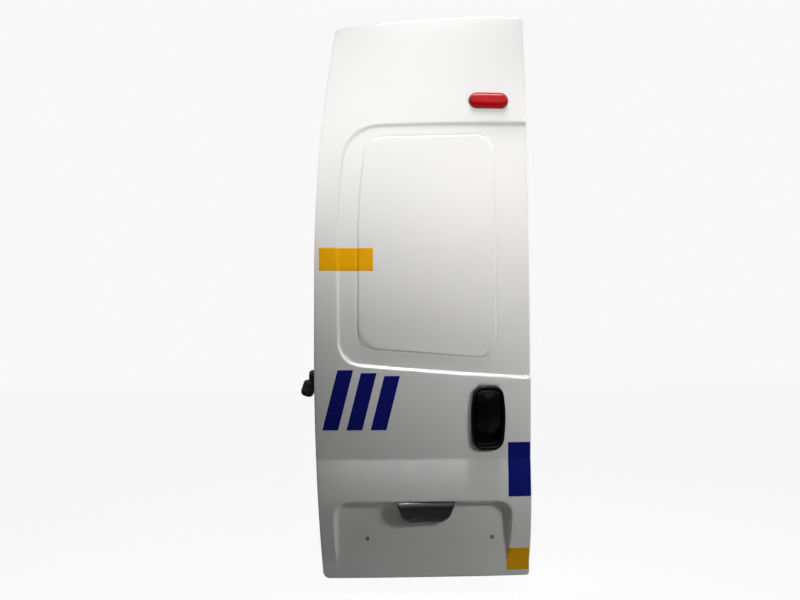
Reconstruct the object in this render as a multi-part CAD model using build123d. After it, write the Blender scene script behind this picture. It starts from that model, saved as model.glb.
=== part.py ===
from build123d import *
import os
from math import cos, degrees, radians, sqrt, tan

# Left-hand rear barn door of a high-roof camper van with a blind window, in millimetres.
# The door is drawn with x from the hinge edge to the meeting edge, y from outside to inside and
# z up from the bottom edge. A drop is measured down from the top and a margin back from the
# meeting edge. At the end every piece is moved so that the lower hinge's bolting face is the origin.

# Outline of the outer skin, seen square on
DOOR_WIDTH = 726.0
DOOR_HEIGHT = 1930.0
ROOF_CROWN_RADIUS = 3600.0
EDGE_STRAIGHT_LOW = 760.0
EDGE_STRAIGHT_DROP = 930.0
EDGE_LOWER_RADIUS = 8900.0
EDGE_UPPER_RADIUS = 5150.0
CORNER_BOTTOM_HINGE = 22.0
CORNER_TOP_HINGE = 14.0
CORNER_TOP_MEETING = 16.0
CORNER_BOTTOM_MEETING = 12.0

# Curved surface: a side profile of two arcs, turned about a far upright axis
PLAN_RADIUS = 9000.0
BULGE_RADIUS = 800.0
BULGE_HEIGHT = 270.0
UPPER_RADIUS = 7000.0
WAIST_HEIGHT = 600.0
WAIST_DEPTH = 8.0
CREASE_RADIUS = 25.0

# Sheet metal, the skin's edge folded round the inner pressing's flange
SKIN_THICKNESS = 1.5
PANEL_THICKNESS = 1.5
HEM_WIDTH = 8.0
HEM_GAP = 0.5

# Blind window: a sunk field that runs off the meeting edge, with a raised pad in it
WINDOW_LEFT = 80.0
WINDOW_BOTTOM_LEFT = 715.0
WINDOW_BOTTOM_RIGHT = 671.0
WINDOW_TOP_LEFT_DROP = 404.0
WINDOW_TOP_RIGHT_DROP = 382.0
WINDOW_LOWER_CORNER = 75.0
WINDOW_UPPER_CORNER = 110.0
WINDOW_DEPTH = 9.0
WINDOW_TAPER = 30.0
SWAGE_RADIUS = 9.0
PAD_LEFT = 146.0
PAD_RIGHT_MARGIN = 116.0
PAD_BOTTOM_LEFT = 773.0
PAD_BOTTOM_RIGHT = 737.0
PAD_TOP_LEFT_DROP = 446.0
PAD_TOP_RIGHT_DROP = 430.0
PAD_CORNER = 60.0
PAD_RISE = 3.0

# Number plate pocket with an upright floor, square to the skin seen from above
PLATE_FLOOR = 42.0
PLATE_LEFT = 82.0
PLATE_RIGHT_MARGIN = 82.0
PLATE_TOP = 244.0
PLATE_CORNER = 35.0
PLATE_TAPER = 28.0
PLATE_ROUND = 8.0
PLATE_HOLE_SHIFT = 25.0
PLATE_HOLE_Z = 133.0
PLATE_HOLE_SPACING = 420.0
PLATE_HOLE_RADIUS = 3.0

# Plate lamp bar under the pocket's upper ledge
LAMP_BAR_SHIFT = 9.0
LAMP_BAR_TOP = 261.0
LAMP_BAR_BOTTOM = 191.0
LAMP_BAR_TOP_WIDTH = 198.0
LAMP_BAR_BOTTOM_WIDTH = 148.0
LAMP_BAR_NOSE = 3.0
LAMP_BAR_NOSE_HEIGHT = 238.0
LAMP_BAR_FOOT = 16.0
LAMP_BAR_CORNER = 26.0
LAMP_BAR_ROUND = 8.0
PLATE_LENS_LENGTH = 40.0
PLATE_LENS_WIDTH = 14.0
PLATE_LENS_DEPTH = 5.0
PLATE_LENS_PROUD = 1.5
PLATE_LENS_SPACING = 76.0

# High-level brake lamp
BRAKE_LAMP_MARGIN = 130.0
BRAKE_LAMP_DROP = 312.0
BRAKE_LAMP_LENGTH = 137.0
BRAKE_LAMP_HEIGHT = 56.0
BRAKE_LENS_RISE = 17.0
BRAKE_LENS_ROUND = 12.0
BRAKE_LENS_WALL = 3.0
BRAKE_GASKET_THICKNESS = 2.0
BRAKE_HOUSING_INSET = 9.0
BRAKE_HOUSING_DEPTH = 26.0
BRAKE_HOLE_CLEARANCE = 1.0

# Outside door handle
HANDLE_MARGIN = 146.0
HANDLE_Z = 539.0
HANDLE_WIDTH = 116.0
HANDLE_HEIGHT = 218.0
HANDLE_SIDE_RADIUS = 540.0
HANDLE_END_RADIUS = 240.0
HANDLE_CORNER = 28.0
HANDLE_PROUD = 14.0
HANDLE_ROUND = 5.0
HANDLE_LIP = 9.0
HANDLE_WALL = 3.0
HANDLE_CUP_DEPTH = 32.0
HANDLE_APERTURE_CLEARANCE = 1.0
FLAP_CLEARANCE = 5.0
FLAP_LENGTH = 142.0
FLAP_THICKNESS = 10.0
FLAP_TIP_BOW = 10.0
FLAP_TIP_CORNER = 22.0
FLAP_CROWN_RADIUS = 420.0
FLAP_CROWN_RISE = 4.0
FLAP_RIDGE_RISE = 3.0
FLAP_RIDGE_WIDTH = 40.0
FLAP_RIDGE_CREST = 22.0
FLAP_PIN_DROP = 26.0
FLAP_PIN_RADIUS = 3.0
FLAP_PIN_CLEARANCE = 0.05
FLAP_PIN_SEAT = 2.0

# Inner pressing
PAN_DEPTH = 58.0
PAN_HEM = 18.0
PAN_LEFT = 46.0
PAN_STRAIGHT_LOW = 200.0
PAN_STRAIGHT_DROP = 480.0
PAN_FOOT = 62.0
PAN_HEAD = 108.0
PAN_CORNER = 30.0
PAN_BEND = 300.0
PAN_ROUND = 6.0
APERTURE_LEFT = 130.0
APERTURE_RIGHT_MARGIN = 86.0
APERTURE_BOTTOM = 752.0
APERTURE_TOP_DROP = 462.0
APERTURE_CORNER = 60.0
APERTURE_LIP = 12.0
FIELD_LEFT = 160.0
FIELD_RIGHT_MARGIN = 116.0
FIELD_BOTTOM_DROP = 400.0
FIELD_TOP_DROP = 150.0
FIELD_CORNER = 40.0
FIELD_DEPTH = 8.0

# Hinges hidden behind the skin's edge: pillar leaf and pin stay with the body, door leaf is bolted
# to the shut wall
HINGE_LOW_Z = 330.0
HINGE_HIGH_DROP = 603.0
HINGE_BEHIND_EDGE = 17.5
HINGE_INSIDE_EDGE = 7.0
HINGE_HEIGHT = 70.0
HINGE_BARREL_RADIUS = 6.0
HINGE_PIN_RADIUS = 3.5
HINGE_PIN_CLEARANCE = 0.05
HINGE_PIN_HEAD_RADIUS = 5.5
HINGE_PIN_HEAD = 2.5
HINGE_KNUCKLE = 23.0
HINGE_KNUCKLE_GAP = 0.5
HINGE_PLATE = 4.5
HINGE_STRAP_OFFSET = 14.0
HINGE_STRAP_THICKNESS = 4.5
HINGE_ARM = 8.0
HINGE_STRAP_LENGTH = 75.0
HINGE_NOTCH = 13.0
HINGE_RELIEF = 1.0
HINGE_CORNER = 6.0
HINGE_BOLT_RADIUS = 4.5
HINGE_BOLT_SPACING = 44.0
PILLAR_BOLT_BACK = 50.0
LEAF_DEPTH = 30.0
LEAF_BOLT_BACK = 17.0

# Wiring gaiter at the shut wall
GAITER_BEHIND_SKIN = 31.5
GAITER_Z = 677.0
GAITER_FLANGE_RADIUS = 20.0
GAITER_FLANGE = 4.0
GAITER_NECK_RADIUS = 14.0
GAITER_BEAD_RADIUS = 22.0
GAITER_BEAD_LENGTH = 25.0
GAITER_BEAD_REACH = 63.0
GAITER_PLUG_RADIUS = 22.0
GAITER_PLUG_LENGTH = 56.0
GAITER_PLUG_TILT = 18.0
GAITER_PLUG_DROP = 40.0
GAITER_PLUG_REACH = 64.0
GAITER_ROUND = 9.0

# Inside fittings
TRIM_LEFT = 84.0
TRIM_RIGHT_MARGIN = 98.0
TRIM_BOTTOM = 84.0
TRIM_TOP = 640.0
TRIM_CORNER = 28.0
TRIM_THICKNESS = 3.0
CASE_PLATE = 4.0
CASE_MARGIN = 6.0
CASE_EDGE = 3.0
LATCH_MARGIN = 58.0
LATCH_Z = 540.0
LATCH_WIDTH = 60.0
LATCH_HEIGHT = 120.0
LATCH_DEPTH = 22.0
LATCH_MOUTH = 15.0
LATCH_MOUTH_DEPTH = 24.0
LATCH_ROUND = 10.0
BOLT_CASE_MARGIN = 66.0
BOLT_CASE_WIDTH = 46.0
BOLT_CASE_HEIGHT = 70.0
BOLT_CASE_DEPTH = 18.0
BOLT_CASE_ROUND = 10.0
BOLT_CASE_LOW_Z = 75.0
BOLT_CASE_HIGH_DROP = 100.0
BOLT_RADIUS = 6.0
BOLT_REACH = 22.0
RELEASE_MARGIN = 166.0
RELEASE_Z = 560.0
RELEASE_WIDTH = 96.0
RELEASE_HEIGHT = 52.0
RELEASE_DEPTH = 14.0
RELEASE_WALL = 3.0
RELEASE_ROUND = 12.0
RELEASE_LEVER_LENGTH = 66.0
RELEASE_LEVER_WIDTH = 20.0
BUFFER_MARGIN = 52.0
BUFFER_LOW_Z = 260.0
BUFFER_HIGH_DROP = 630.0
BUFFER_RADIUS = 14.0
BUFFER_TIP_RADIUS = 9.0
BUFFER_HEIGHT = 16.0

# Construction reach past the finished shape, seating depth cut back to a curved face, and how
# near a line has to lie to a surface to count as on it
OVERRUN = 60.0
BLOCK_DEPTH = 420.0
WINDOW_REACH = 40.0
SEAT = 6.0
TOUCH = 0.5


# Places worked out from the sizes

def from_meeting(margin):
    return DOOR_WIDTH - margin


def from_top(drop):
    return DOOR_HEIGHT - drop


def circle_crossing(first, first_radius, second, second_radius):
    """Where two circles cross, on the left of the line from the first centre to the second."""
    gap = second - first
    along = (first_radius ** 2 - second_radius ** 2 + gap.length ** 2) / (2 * gap.length)
    aside = sqrt(first_radius ** 2 - along ** 2)
    unit = gap.normalized()
    return first + unit * along + Vector(-unit.Y, unit.X) * aside


# Curved surface

def crease_height():
    """Height at which the side profile's two arcs meet."""
    bulge = Vector(BULGE_RADIUS, BULGE_HEIGHT)
    upper = Vector(WAIST_DEPTH + UPPER_RADIUS, WAIST_HEIGHT)
    return circle_crossing(bulge, BULGE_RADIUS, upper, UPPER_RADIUS).Y


def profile_arc(z):
    """Radius, middle height and least depth of the side profile's arc at a height."""
    if z < crease_height():
        return BULGE_RADIUS, BULGE_HEIGHT, 0
    return UPPER_RADIUS, WAIST_HEIGHT, WAIST_DEPTH


def profile_depth(z, inset=0):
    """Depth of the side profile at the meeting edge, without the crease's small radius."""
    radius, middle, least = profile_arc(z)
    return least + radius - sqrt((radius - inset) ** 2 - (z - middle) ** 2)


def profile_slope(z):
    radius, middle, least = profile_arc(z)
    return (z - middle) / sqrt(radius ** 2 - (z - middle) ** 2)


def plan_slope(x):
    return -(DOOR_WIDTH - x) / PLAN_RADIUS


def skin_depth(x, z, inset=0):
    """Depth of the smooth surface at a place on the door, moved inward by the inset."""
    radius = PLAN_RADIUS - profile_depth(z, inset)
    return PLAN_RADIUS - sqrt(radius ** 2 - (DOOR_WIDTH - x) ** 2)


def surface_plane(x, z):
    """Plane tangent to the outer surface, its normal pointing out of the door."""
    plan = plan_slope(x)
    return Plane((x, skin_depth(x, z), z), x_dir=(1, plan, 0), z_dir=(plan, -1, profile_slope(z)))


def back_plane(x, z):
    """Plane tangent to the inner pressing's back, its normal pointing into the van."""
    outer = surface_plane(x, z)
    inward = outer.z_dir * -1
    return Plane(outer.origin + inward * PAN_DEPTH, x_dir=outer.x_dir, z_dir=inward)


def side_region(inset):
    """Everything behind the side profile, moved inward by the inset."""
    corner = (Align.MIN, Align.MIN)
    low = Pos(BULGE_RADIUS, BULGE_HEIGHT) * Circle(BULGE_RADIUS - inset)
    low &= Pos(0, -OVERRUN) * Rectangle(BLOCK_DEPTH, WAIST_HEIGHT + OVERRUN, align=corner)
    high = Pos(WAIST_DEPTH + UPPER_RADIUS, WAIST_HEIGHT) * Circle(UPPER_RADIUS - inset)
    high &= Pos(0, BULGE_HEIGHT) * Rectangle(BLOCK_DEPTH, DOOR_HEIGHT + OVERRUN - BULGE_HEIGHT, align=corner)
    region = low + high
    between = region.vertices().filter_by(lambda v: BULGE_HEIGHT < v.Y < WAIST_HEIGHT)
    return fillet(between.sort_by(Axis.X)[0], CREASE_RADIUS + inset)


def block(inset):
    """Solid behind the smooth surface, moved inward by the inset."""
    upright = Axis((DOOR_WIDTH, PLAN_RADIUS, 0), (0, 0, 1))
    span = degrees((DOOR_WIDTH + 2 * OVERRUN) / PLAN_RADIUS)
    turned = revolve(Plane.YZ.offset(DOOR_WIDTH) * side_region(inset), upright, -span)
    return turned.rotate(upright, degrees(OVERRUN / PLAN_RADIUS))


def prism(sketch):
    """Upright sketch carried right through the door."""
    return extrude(Plane.XZ * sketch, BLOCK_DEPTH, both=True)


def edges_at_depth(solid, inset):
    """Edges that lie on the smooth surface moved inward by the inset."""
    def lies_on(edge):
        points = [edge @ 0, edge @ 0.5, edge @ 1]
        return all(abs(p.Y - skin_depth(p.X, p.Z, inset)) < TOUCH for p in points)
    return solid.edges().filter_by(lies_on)


# Outlines, seen square on

def arc_shift(radius, run):
    """Sideways shift of an arc that starts upright, after the given run."""
    return radius - sqrt(radius ** 2 - run ** 2)


def hinge_edge(z, inset=0):
    """Place of the skin's hinge edge at a height, moved inward by the inset."""
    run = EDGE_STRAIGHT_LOW - z
    rise = max(z - from_top(EDGE_STRAIGHT_DROP), 0)
    if run > 0:
        return EDGE_LOWER_RADIUS - sqrt((EDGE_LOWER_RADIUS - inset) ** 2 - run ** 2)
    return EDGE_UPPER_RADIUS - sqrt((EDGE_UPPER_RADIUS - inset) ** 2 - rise ** 2)


def edge_point(z, inset):
    return Vector(hinge_edge(z, inset), z)


def crown_point(x, inset):
    """Point of the roof's crown, moved down by the inset."""
    radius = ROOF_CROWN_RADIUS - inset
    return Vector(x, from_top(ROOF_CROWN_RADIUS) + sqrt(radius ** 2 - (DOOR_WIDTH - x) ** 2))


def crown_arc(left, right, inset):
    middle = crown_point((left + right) / 2, inset)
    return ThreePointArc(crown_point(left, inset), middle, crown_point(right, inset))


def round_corner(face, corner, radius):
    return fillet(face.vertices().sort_by_distance(corner)[0], radius)


def skin_outline(inset=0):
    """Door outline moved inward by the inset: bowed hinge edge, crowned top and straight meeting edge."""
    right = from_meeting(inset)
    straight = from_top(EDGE_STRAIGHT_DROP)
    crown_centre = Vector(DOOR_WIDTH, from_top(ROOF_CROWN_RADIUS))
    bow_centre = Vector(EDGE_UPPER_RADIUS, straight)
    head = circle_crossing(crown_centre, ROOF_CROWN_RADIUS - inset, bow_centre, EDGE_UPPER_RADIUS - inset)
    foot = edge_point(inset, inset)
    low_end = edge_point(EDGE_STRAIGHT_LOW, inset)
    high_end = edge_point(straight, inset)
    meeting_foot = Vector(right, inset)
    meeting_head = crown_point(right, inset)
    edges = [ThreePointArc(foot, edge_point(EDGE_STRAIGHT_LOW / 2, inset), low_end), Line(low_end, high_end)]
    edges += [ThreePointArc(high_end, edge_point((straight + head.Y) / 2, inset), head)]
    edges += [crown_arc(head.X, right, inset), Polyline(meeting_head, meeting_foot, foot)]
    face = make_face(edges)
    face = round_corner(face, foot, CORNER_BOTTOM_HINGE - inset)
    face = round_corner(face, head, CORNER_TOP_HINGE - inset)
    face = round_corner(face, meeting_head, CORNER_TOP_MEETING - inset)
    return round_corner(face, meeting_foot, CORNER_BOTTOM_MEETING - inset)


def pan_outline():
    """Outline of the inner pressing's shut walls, upright where the hinges are bolted."""
    right = from_meeting(PAN_HEM)
    bends = [Vector(PAN_LEFT, from_top(PAN_STRAIGHT_DROP)), Vector(PAN_LEFT, PAN_STRAIGHT_LOW)]
    ends = [crown_point(PAN_HEAD, PAN_HEM), Vector(PAN_FOOT, PAN_HEM)]
    ends += [Vector(right, PAN_HEM), crown_point(right, PAN_HEM)]
    face = make_face([Polyline(ends[0], *bends, *ends[1:]), crown_arc(PAN_HEAD, right, PAN_HEM)])
    for bend in bends:
        face = round_corner(face, bend, PAN_BEND)
    for end in ends:
        face = round_corner(face, end, PAN_CORNER)
    return face


def rounded_quad(left, right, lower_left, lower_right, upper_left, upper_right, corner):
    points = [(left, lower_left), (right, lower_right), (right, upper_right), (left, upper_left)]
    face = make_face(Polyline(*points, close=True))
    return fillet(face.vertices(), corner)


def rounded_box(left, right, bottom, top, corner):
    return rounded_quad(left, right, bottom, bottom, top, top, corner)


def handle_outline(inset):
    """Barrel-shaped handle outline about its own centre, moved inward by the inset."""
    side = HANDLE_WIDTH / 2 - HANDLE_SIDE_RADIUS
    end = HANDLE_HEIGHT / 2 - HANDLE_END_RADIUS
    face = Pos(side, 0) * Circle(HANDLE_SIDE_RADIUS - inset)
    face &= Pos(-side, 0) * Circle(HANDLE_SIDE_RADIUS - inset)
    face &= Pos(0, end) * Circle(HANDLE_END_RADIUS - inset)
    face &= Pos(0, -end) * Circle(HANDLE_END_RADIUS - inset)
    return fillet(face.vertices(), HANDLE_CORNER - inset)


# Outer skin

def window_plane():
    """Plane along the window field, as deep as the surface at the middle of its lower wall."""
    x = (WINDOW_LEFT + DOOR_WIDTH) / 2
    low = (WINDOW_BOTTOM_LEFT + WINDOW_BOTTOM_RIGHT) / 2
    plane = surface_plane(x, (WINDOW_BOTTOM_LEFT + from_top(WINDOW_TOP_LEFT_DROP)) / 2)
    wall = Vector(x, skin_depth(x, low), low)
    return plane.offset((wall - plane.origin).dot(plane.z_dir))


def window_wall(inset):
    """Tapered plug whose sides are the window field's walls, running off past the meeting edge."""
    plane = window_plane()
    run = DOOR_WIDTH - WINDOW_LEFT
    stretch = (run + 2 * OVERRUN) / run
    top_left = from_top(WINDOW_TOP_LEFT_DROP)
    bottom_right = WINDOW_BOTTOM_LEFT + stretch * (WINDOW_BOTTOM_RIGHT - WINDOW_BOTTOM_LEFT)
    top_right = top_left + stretch * (WINDOW_TOP_LEFT_DROP - WINDOW_TOP_RIGHT_DROP)
    right = WINDOW_LEFT + stretch * run
    lower = Vector(WINDOW_LEFT, WINDOW_BOTTOM_LEFT)
    upper = Vector(WINDOW_LEFT, top_left)
    face = make_face(Polyline(lower, (right, bottom_right), (right, top_right), upper, close=True))
    face = round_corner(face, lower, WINDOW_LOWER_CORNER)
    face = round_corner(face, upper, WINDOW_UPPER_CORNER)
    taper = radians(WINDOW_TAPER)
    foot = offset(face, inset / cos(taper) - WINDOW_REACH * tan(taper))
    foot = Pos(-plane.origin.X, -plane.origin.Z) * foot
    return extrude(plane.offset(-WINDOW_REACH) * foot, 2 * WINDOW_REACH, taper=-WINDOW_TAPER)


def swage_edges(solid, inset):
    """Edges along the window field's wall at a depth below the smooth surface."""
    low = min(WINDOW_BOTTOM_LEFT, WINDOW_BOTTOM_RIGHT) - OVERRUN
    high = from_top(min(WINDOW_TOP_LEFT_DROP, WINDOW_TOP_RIGHT_DROP)) + OVERRUN
    edges = edges_at_depth(solid, inset).filter_by(lambda e: low < e.center().Z < high)
    return edges.filter_by(lambda e: WINDOW_LEFT - OVERRUN < e.center().X < DOOR_WIDTH)


def sunk_front(inset):
    """Solid behind the surface with the window field pressed in between soft swages."""
    sunk = (block(inset) - window_wall(inset)) + block(inset + WINDOW_DEPTH)
    sunk = fillet(swage_edges(sunk, inset), SWAGE_RADIUS - inset)
    return fillet(swage_edges(sunk, inset + WINDOW_DEPTH), SWAGE_RADIUS + inset)


def window_pad(inset):
    """Raised pad in the window field."""
    face = rounded_quad(PAD_LEFT, from_meeting(PAD_RIGHT_MARGIN), PAD_BOTTOM_LEFT, PAD_BOTTOM_RIGHT,
                        from_top(PAD_TOP_LEFT_DROP), from_top(PAD_TOP_RIGHT_DROP), PAD_CORNER)
    return prism(offset(face, -inset)) & block(inset + WINDOW_DEPTH - PAD_RISE)


def plate_middle():
    return (PLATE_LEFT + from_meeting(PLATE_RIGHT_MARGIN)) / 2


def plate_plane():
    """Floor of the plate pocket, upright, with its sideways zero at the pocket's middle."""
    plan = plan_slope(plate_middle())
    return Plane((plate_middle(), PLATE_FLOOR, 0), x_dir=(1, plan, 0), z_dir=(plan, -1, 0))


def plate_pocket(inset):
    """Tapered plug that presses the number plate pocket, running out at the bottom."""
    half = plate_middle() - PLATE_LEFT
    face = make_face(Polyline((-half, -OVERRUN), (half, -OVERRUN), (half, PLATE_TOP), (-half, PLATE_TOP),
                              close=True))
    face = fillet(face.vertices().group_by(Axis.Y)[-1], PLATE_CORNER)
    taper = radians(PLATE_TAPER)
    floor = offset(face, inset / cos(taper) - inset * tan(taper))
    plug = extrude(plate_plane().offset(-inset) * floor, PLATE_FLOOR + OVERRUN, taper=-PLATE_TAPER)
    return fillet(plug.faces().sort_by(Axis.Y)[-1].edges(), PLATE_ROUND + inset)


def pressed_front(inset):
    """Solid behind the pressed outer face, moved inward by the inset."""
    return sunk_front(inset) + window_pad(inset) - plate_pocket(inset)


def make_outer_skin(front, behind, flange_back, hem_back):
    """Pressed skin with its edge folded round the flange, and the holes for what it carries."""
    skin = (front - hem_back) & prism(skin_outline())
    skin -= (behind - flange_back) & prism(skin_outline(SKIN_THICKNESS))
    skin -= flange_back & prism(skin_outline(HEM_WIDTH))
    lamp_hole = extrude(brake_slot(BRAKE_HOUSING_INSET - BRAKE_HOLE_CLEARANCE), OVERRUN, both=True)
    skin -= brake_plane() * lamp_hole
    skin -= prism(handle_place() * handle_outline(HANDLE_LIP - HANDLE_APERTURE_CLEARANCE))
    for side in (-1, 1):
        place = Pos(PLATE_HOLE_SHIFT + side * PLATE_HOLE_SPACING / 2, PLATE_HOLE_Z)
        skin -= plate_plane() * place * Cylinder(PLATE_HOLE_RADIUS, OVERRUN)
    return skin


# Inner pressing

def aperture_outline():
    return rounded_box(APERTURE_LEFT, from_meeting(APERTURE_RIGHT_MARGIN), APERTURE_BOTTOM,
                       from_top(APERTURE_TOP_DROP), APERTURE_CORNER)


def field_outline():
    return rounded_box(FIELD_LEFT, from_meeting(FIELD_RIGHT_MARGIN), from_top(FIELD_BOTTOM_DROP),
                       from_top(FIELD_TOP_DROP), FIELD_CORNER)


def pan_space(inset):
    """Space in the pan, moved inward by the inset: rounded back edge, window lip and pressed field."""
    space = prism(offset(pan_outline(), -inset)) - block(PAN_DEPTH - inset)
    space = fillet(edges_at_depth(space, PAN_DEPTH - inset), PAN_ROUND - inset)
    space -= prism(offset(aperture_outline(), inset)) & block(PAN_DEPTH - APERTURE_LIP)
    return space - (prism(offset(field_outline(), inset)) & block(PAN_DEPTH - FIELD_DEPTH - inset))


def make_inner_panel(behind, flange_back):
    """Pan with shut walls, its flange in the fold of the skin."""
    pan = (pan_space(0) - pan_space(PANEL_THICKNESS)) & behind
    flange_edge = skin_outline(SKIN_THICKNESS + HEM_GAP)
    flange = prism(flange_edge) - prism(offset(pan_outline(), -PANEL_THICKNESS))
    return pan + ((behind - flange_back) & flange)


# Brake lamp

def brake_plane():
    return surface_plane(from_meeting(BRAKE_LAMP_MARGIN), from_top(BRAKE_LAMP_DROP))


def brake_slot(inset):
    return SlotOverall(BRAKE_LAMP_LENGTH - 2 * inset, BRAKE_LAMP_HEIGHT - 2 * inset)


def make_brake_gasket(smooth):
    ring = extrude(brake_slot(0), BRAKE_GASKET_THICKNESS) + extrude(brake_slot(0), -SEAT)
    ring -= extrude(brake_slot(BRAKE_HOUSING_INSET), OVERRUN, both=True)
    return brake_plane() * ring - smooth


def make_brake_lens():
    """Hollow domed lens that closes the lamp."""
    dome = extrude(brake_slot(0), BRAKE_LENS_RISE)
    dome = fillet(dome.edges().group_by(Axis.Z)[-1], BRAKE_LENS_ROUND)
    hollow = extrude(brake_slot(BRAKE_LENS_WALL), BRAKE_LENS_RISE - BRAKE_LENS_WALL)
    hollow = fillet(hollow.edges().group_by(Axis.Z)[-1], BRAKE_LENS_ROUND - BRAKE_LENS_WALL)
    return brake_plane().offset(BRAKE_GASKET_THICKNESS) * (dome - hollow)


def make_brake_housing():
    """Cup behind the lens that passes through the skin."""
    cup = extrude(brake_slot(BRAKE_HOUSING_INSET), -BRAKE_HOUSING_DEPTH)
    hollow = extrude(brake_slot(BRAKE_HOUSING_INSET + BRAKE_LENS_WALL), BRAKE_LENS_WALL - BRAKE_HOUSING_DEPTH)
    return brake_plane().offset(BRAKE_GASKET_THICKNESS) * (cup - hollow)


# Plate lamp bar

def lamp_bar_x():
    return plate_middle() + LAMP_BAR_SHIFT


def make_plate_lamp_housing(front):
    """Moulded bar that hangs under the ledge, its back cut to the pocket."""
    section = make_face(Polyline((PLATE_FLOOR + SEAT, LAMP_BAR_BOTTOM), (LAMP_BAR_FOOT, LAMP_BAR_BOTTOM),
                                 (LAMP_BAR_NOSE, LAMP_BAR_NOSE_HEIGHT), (LAMP_BAR_NOSE + SEAT, LAMP_BAR_TOP),
                                 (PLATE_FLOOR + SEAT, LAMP_BAR_TOP), close=True))
    section = fillet(section.vertices().group_by(Axis.X)[0], LAMP_BAR_ROUND)
    bar = extrude(Plane.YZ * section, LAMP_BAR_TOP_WIDTH, both=True)
    top = LAMP_BAR_TOP_WIDTH / 2
    bottom = LAMP_BAR_BOTTOM_WIDTH / 2
    face = make_face(Polyline((-top, LAMP_BAR_TOP), (top, LAMP_BAR_TOP), (bottom, LAMP_BAR_BOTTOM),
                              (-bottom, LAMP_BAR_BOTTOM), close=True))
    face = fillet(face.vertices().group_by(Axis.Y)[0], LAMP_BAR_CORNER)
    bar = Pos(X=lamp_bar_x()) * (bar & prism(face)) - front
    for side in (-1, 1):
        bar -= plate_lens(side)
    return bar


def plate_lens(side):
    """Clear lens let into the underside of the lamp bar."""
    x = lamp_bar_x() + side * PLATE_LENS_SPACING / 2
    low = LAMP_BAR_BOTTOM - PLATE_LENS_PROUD
    place = Pos(x, (LAMP_BAR_FOOT + PLATE_FLOOR) / 2, low)
    bottom = (Align.CENTER, Align.CENTER, Align.MIN)
    return place * Box(PLATE_LENS_LENGTH, PLATE_LENS_WIDTH, PLATE_LENS_DEPTH, align=bottom)


# Outside handle

def handle_place():
    """Handle's centre in the upright drawing of the door."""
    return Pos(from_meeting(HANDLE_MARGIN), HANDLE_Z)


def handle_face():
    """Depth of the handle's front rim."""
    return skin_depth(from_meeting(HANDLE_MARGIN), HANDLE_Z) - HANDLE_PROUD


def handle_solid(sketch, front, back):
    """Sketch about the handle's centre, carried between two depths."""
    plane = Plane((from_meeting(HANDLE_MARGIN), back, HANDLE_Z), x_dir=(1, 0, 0), z_dir=(0, -1, 0))
    return extrude(plane * sketch, back - front)


def pin_height():
    return HANDLE_Z + HANDLE_HEIGHT / 2 - FLAP_PIN_DROP


def handle_pin_span():
    """Width of the handle's hollow where the pin crosses it."""
    inset = HANDLE_LIP + HANDLE_WALL
    bow = arc_shift(HANDLE_SIDE_RADIUS - inset, pin_height() - HANDLE_Z)
    return HANDLE_WIDTH - 2 * (inset + bow)


def handle_pin(radius, length):
    place = Pos(from_meeting(HANDLE_MARGIN), handle_face() + FLAP_THICKNESS / 2, pin_height())
    return place * Rot(Y=90) * Cylinder(radius, length)


def make_handle_bezel(smooth):
    """Moulded surround seated on the skin, with the hollow that the flap and fingers use."""
    face = handle_face()
    rim = handle_solid(handle_outline(0), face, face + HANDLE_PROUD + SEAT)
    rim = fillet(rim.edges().group_by(Axis.Y)[0], HANDLE_ROUND)
    cup_back = face + HANDLE_PROUD + HANDLE_CUP_DEPTH
    cup = handle_solid(handle_outline(HANDLE_LIP), face + HANDLE_ROUND, cup_back)
    hollow = handle_solid(handle_outline(HANDLE_LIP + HANDLE_WALL), face - SEAT, cup_back - HANDLE_WALL)
    pin_hole = handle_pin(FLAP_PIN_RADIUS, handle_pin_span() + 2 * FLAP_PIN_SEAT)
    return (rim - smooth) + cup - hollow - pin_hole


def flap_outline():
    """Flap outline about the handle's centre: the hollow's upper part with a bowed, rounded tip."""
    outline = handle_outline(HANDLE_LIP + HANDLE_WALL + FLAP_CLEARANCE)
    top = outline.bounding_box().max.Y
    half = HANDLE_WIDTH / 2
    tip = top - FLAP_LENGTH
    side = tip + FLAP_TIP_BOW
    edges = [ThreePointArc((-half, side), (0, tip), (half, side))]
    edges += [Polyline((half, side), (half, top), (-half, top), (-half, side))]
    face = outline & make_face(edges)
    return fillet(face.vertices().sort_by(Axis.Y)[0:2], FLAP_TIP_CORNER)


def make_handle_flap():
    """Crowned pull flap with a centre ridge, bored for the pivot pin."""
    face = handle_face()
    x = from_meeting(HANDLE_MARGIN)
    crest = face - FLAP_CROWN_RISE - FLAP_RIDGE_RISE
    middle = (pin_height() + HANDLE_Z) / 2
    crown = Pos(x, face - FLAP_CROWN_RISE + FLAP_CROWN_RADIUS, middle)
    blank = handle_solid(flap_outline(), crest, face + FLAP_THICKNESS)
    ridge = make_face(Polyline((-FLAP_RIDGE_WIDTH / 2, face + FLAP_THICKNESS / 2),
                               (-FLAP_RIDGE_CREST / 2, crest), (FLAP_RIDGE_CREST / 2, crest),
                               (FLAP_RIDGE_WIDTH / 2, face + FLAP_THICKNESS / 2), close=True))
    ridge = Pos(x, 0, HANDLE_Z) * extrude(ridge, HANDLE_HEIGHT, both=True)
    flap = blank & crown * Sphere(FLAP_CROWN_RADIUS)
    flap += blank & ridge & crown * Sphere(FLAP_CROWN_RADIUS + FLAP_RIDGE_RISE)
    return flap - handle_pin(FLAP_PIN_RADIUS + FLAP_PIN_CLEARANCE, HANDLE_WIDTH)


def make_handle_pin():
    return handle_pin(FLAP_PIN_RADIUS, handle_pin_span() + 2 * FLAP_PIN_SEAT)


# Hinges

def hinge_high():
    return from_top(HINGE_HIGH_DROP)


def hinge_x():
    return min(hinge_edge(HINGE_LOW_Z), hinge_edge(hinge_high())) + HINGE_INSIDE_EDGE


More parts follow.
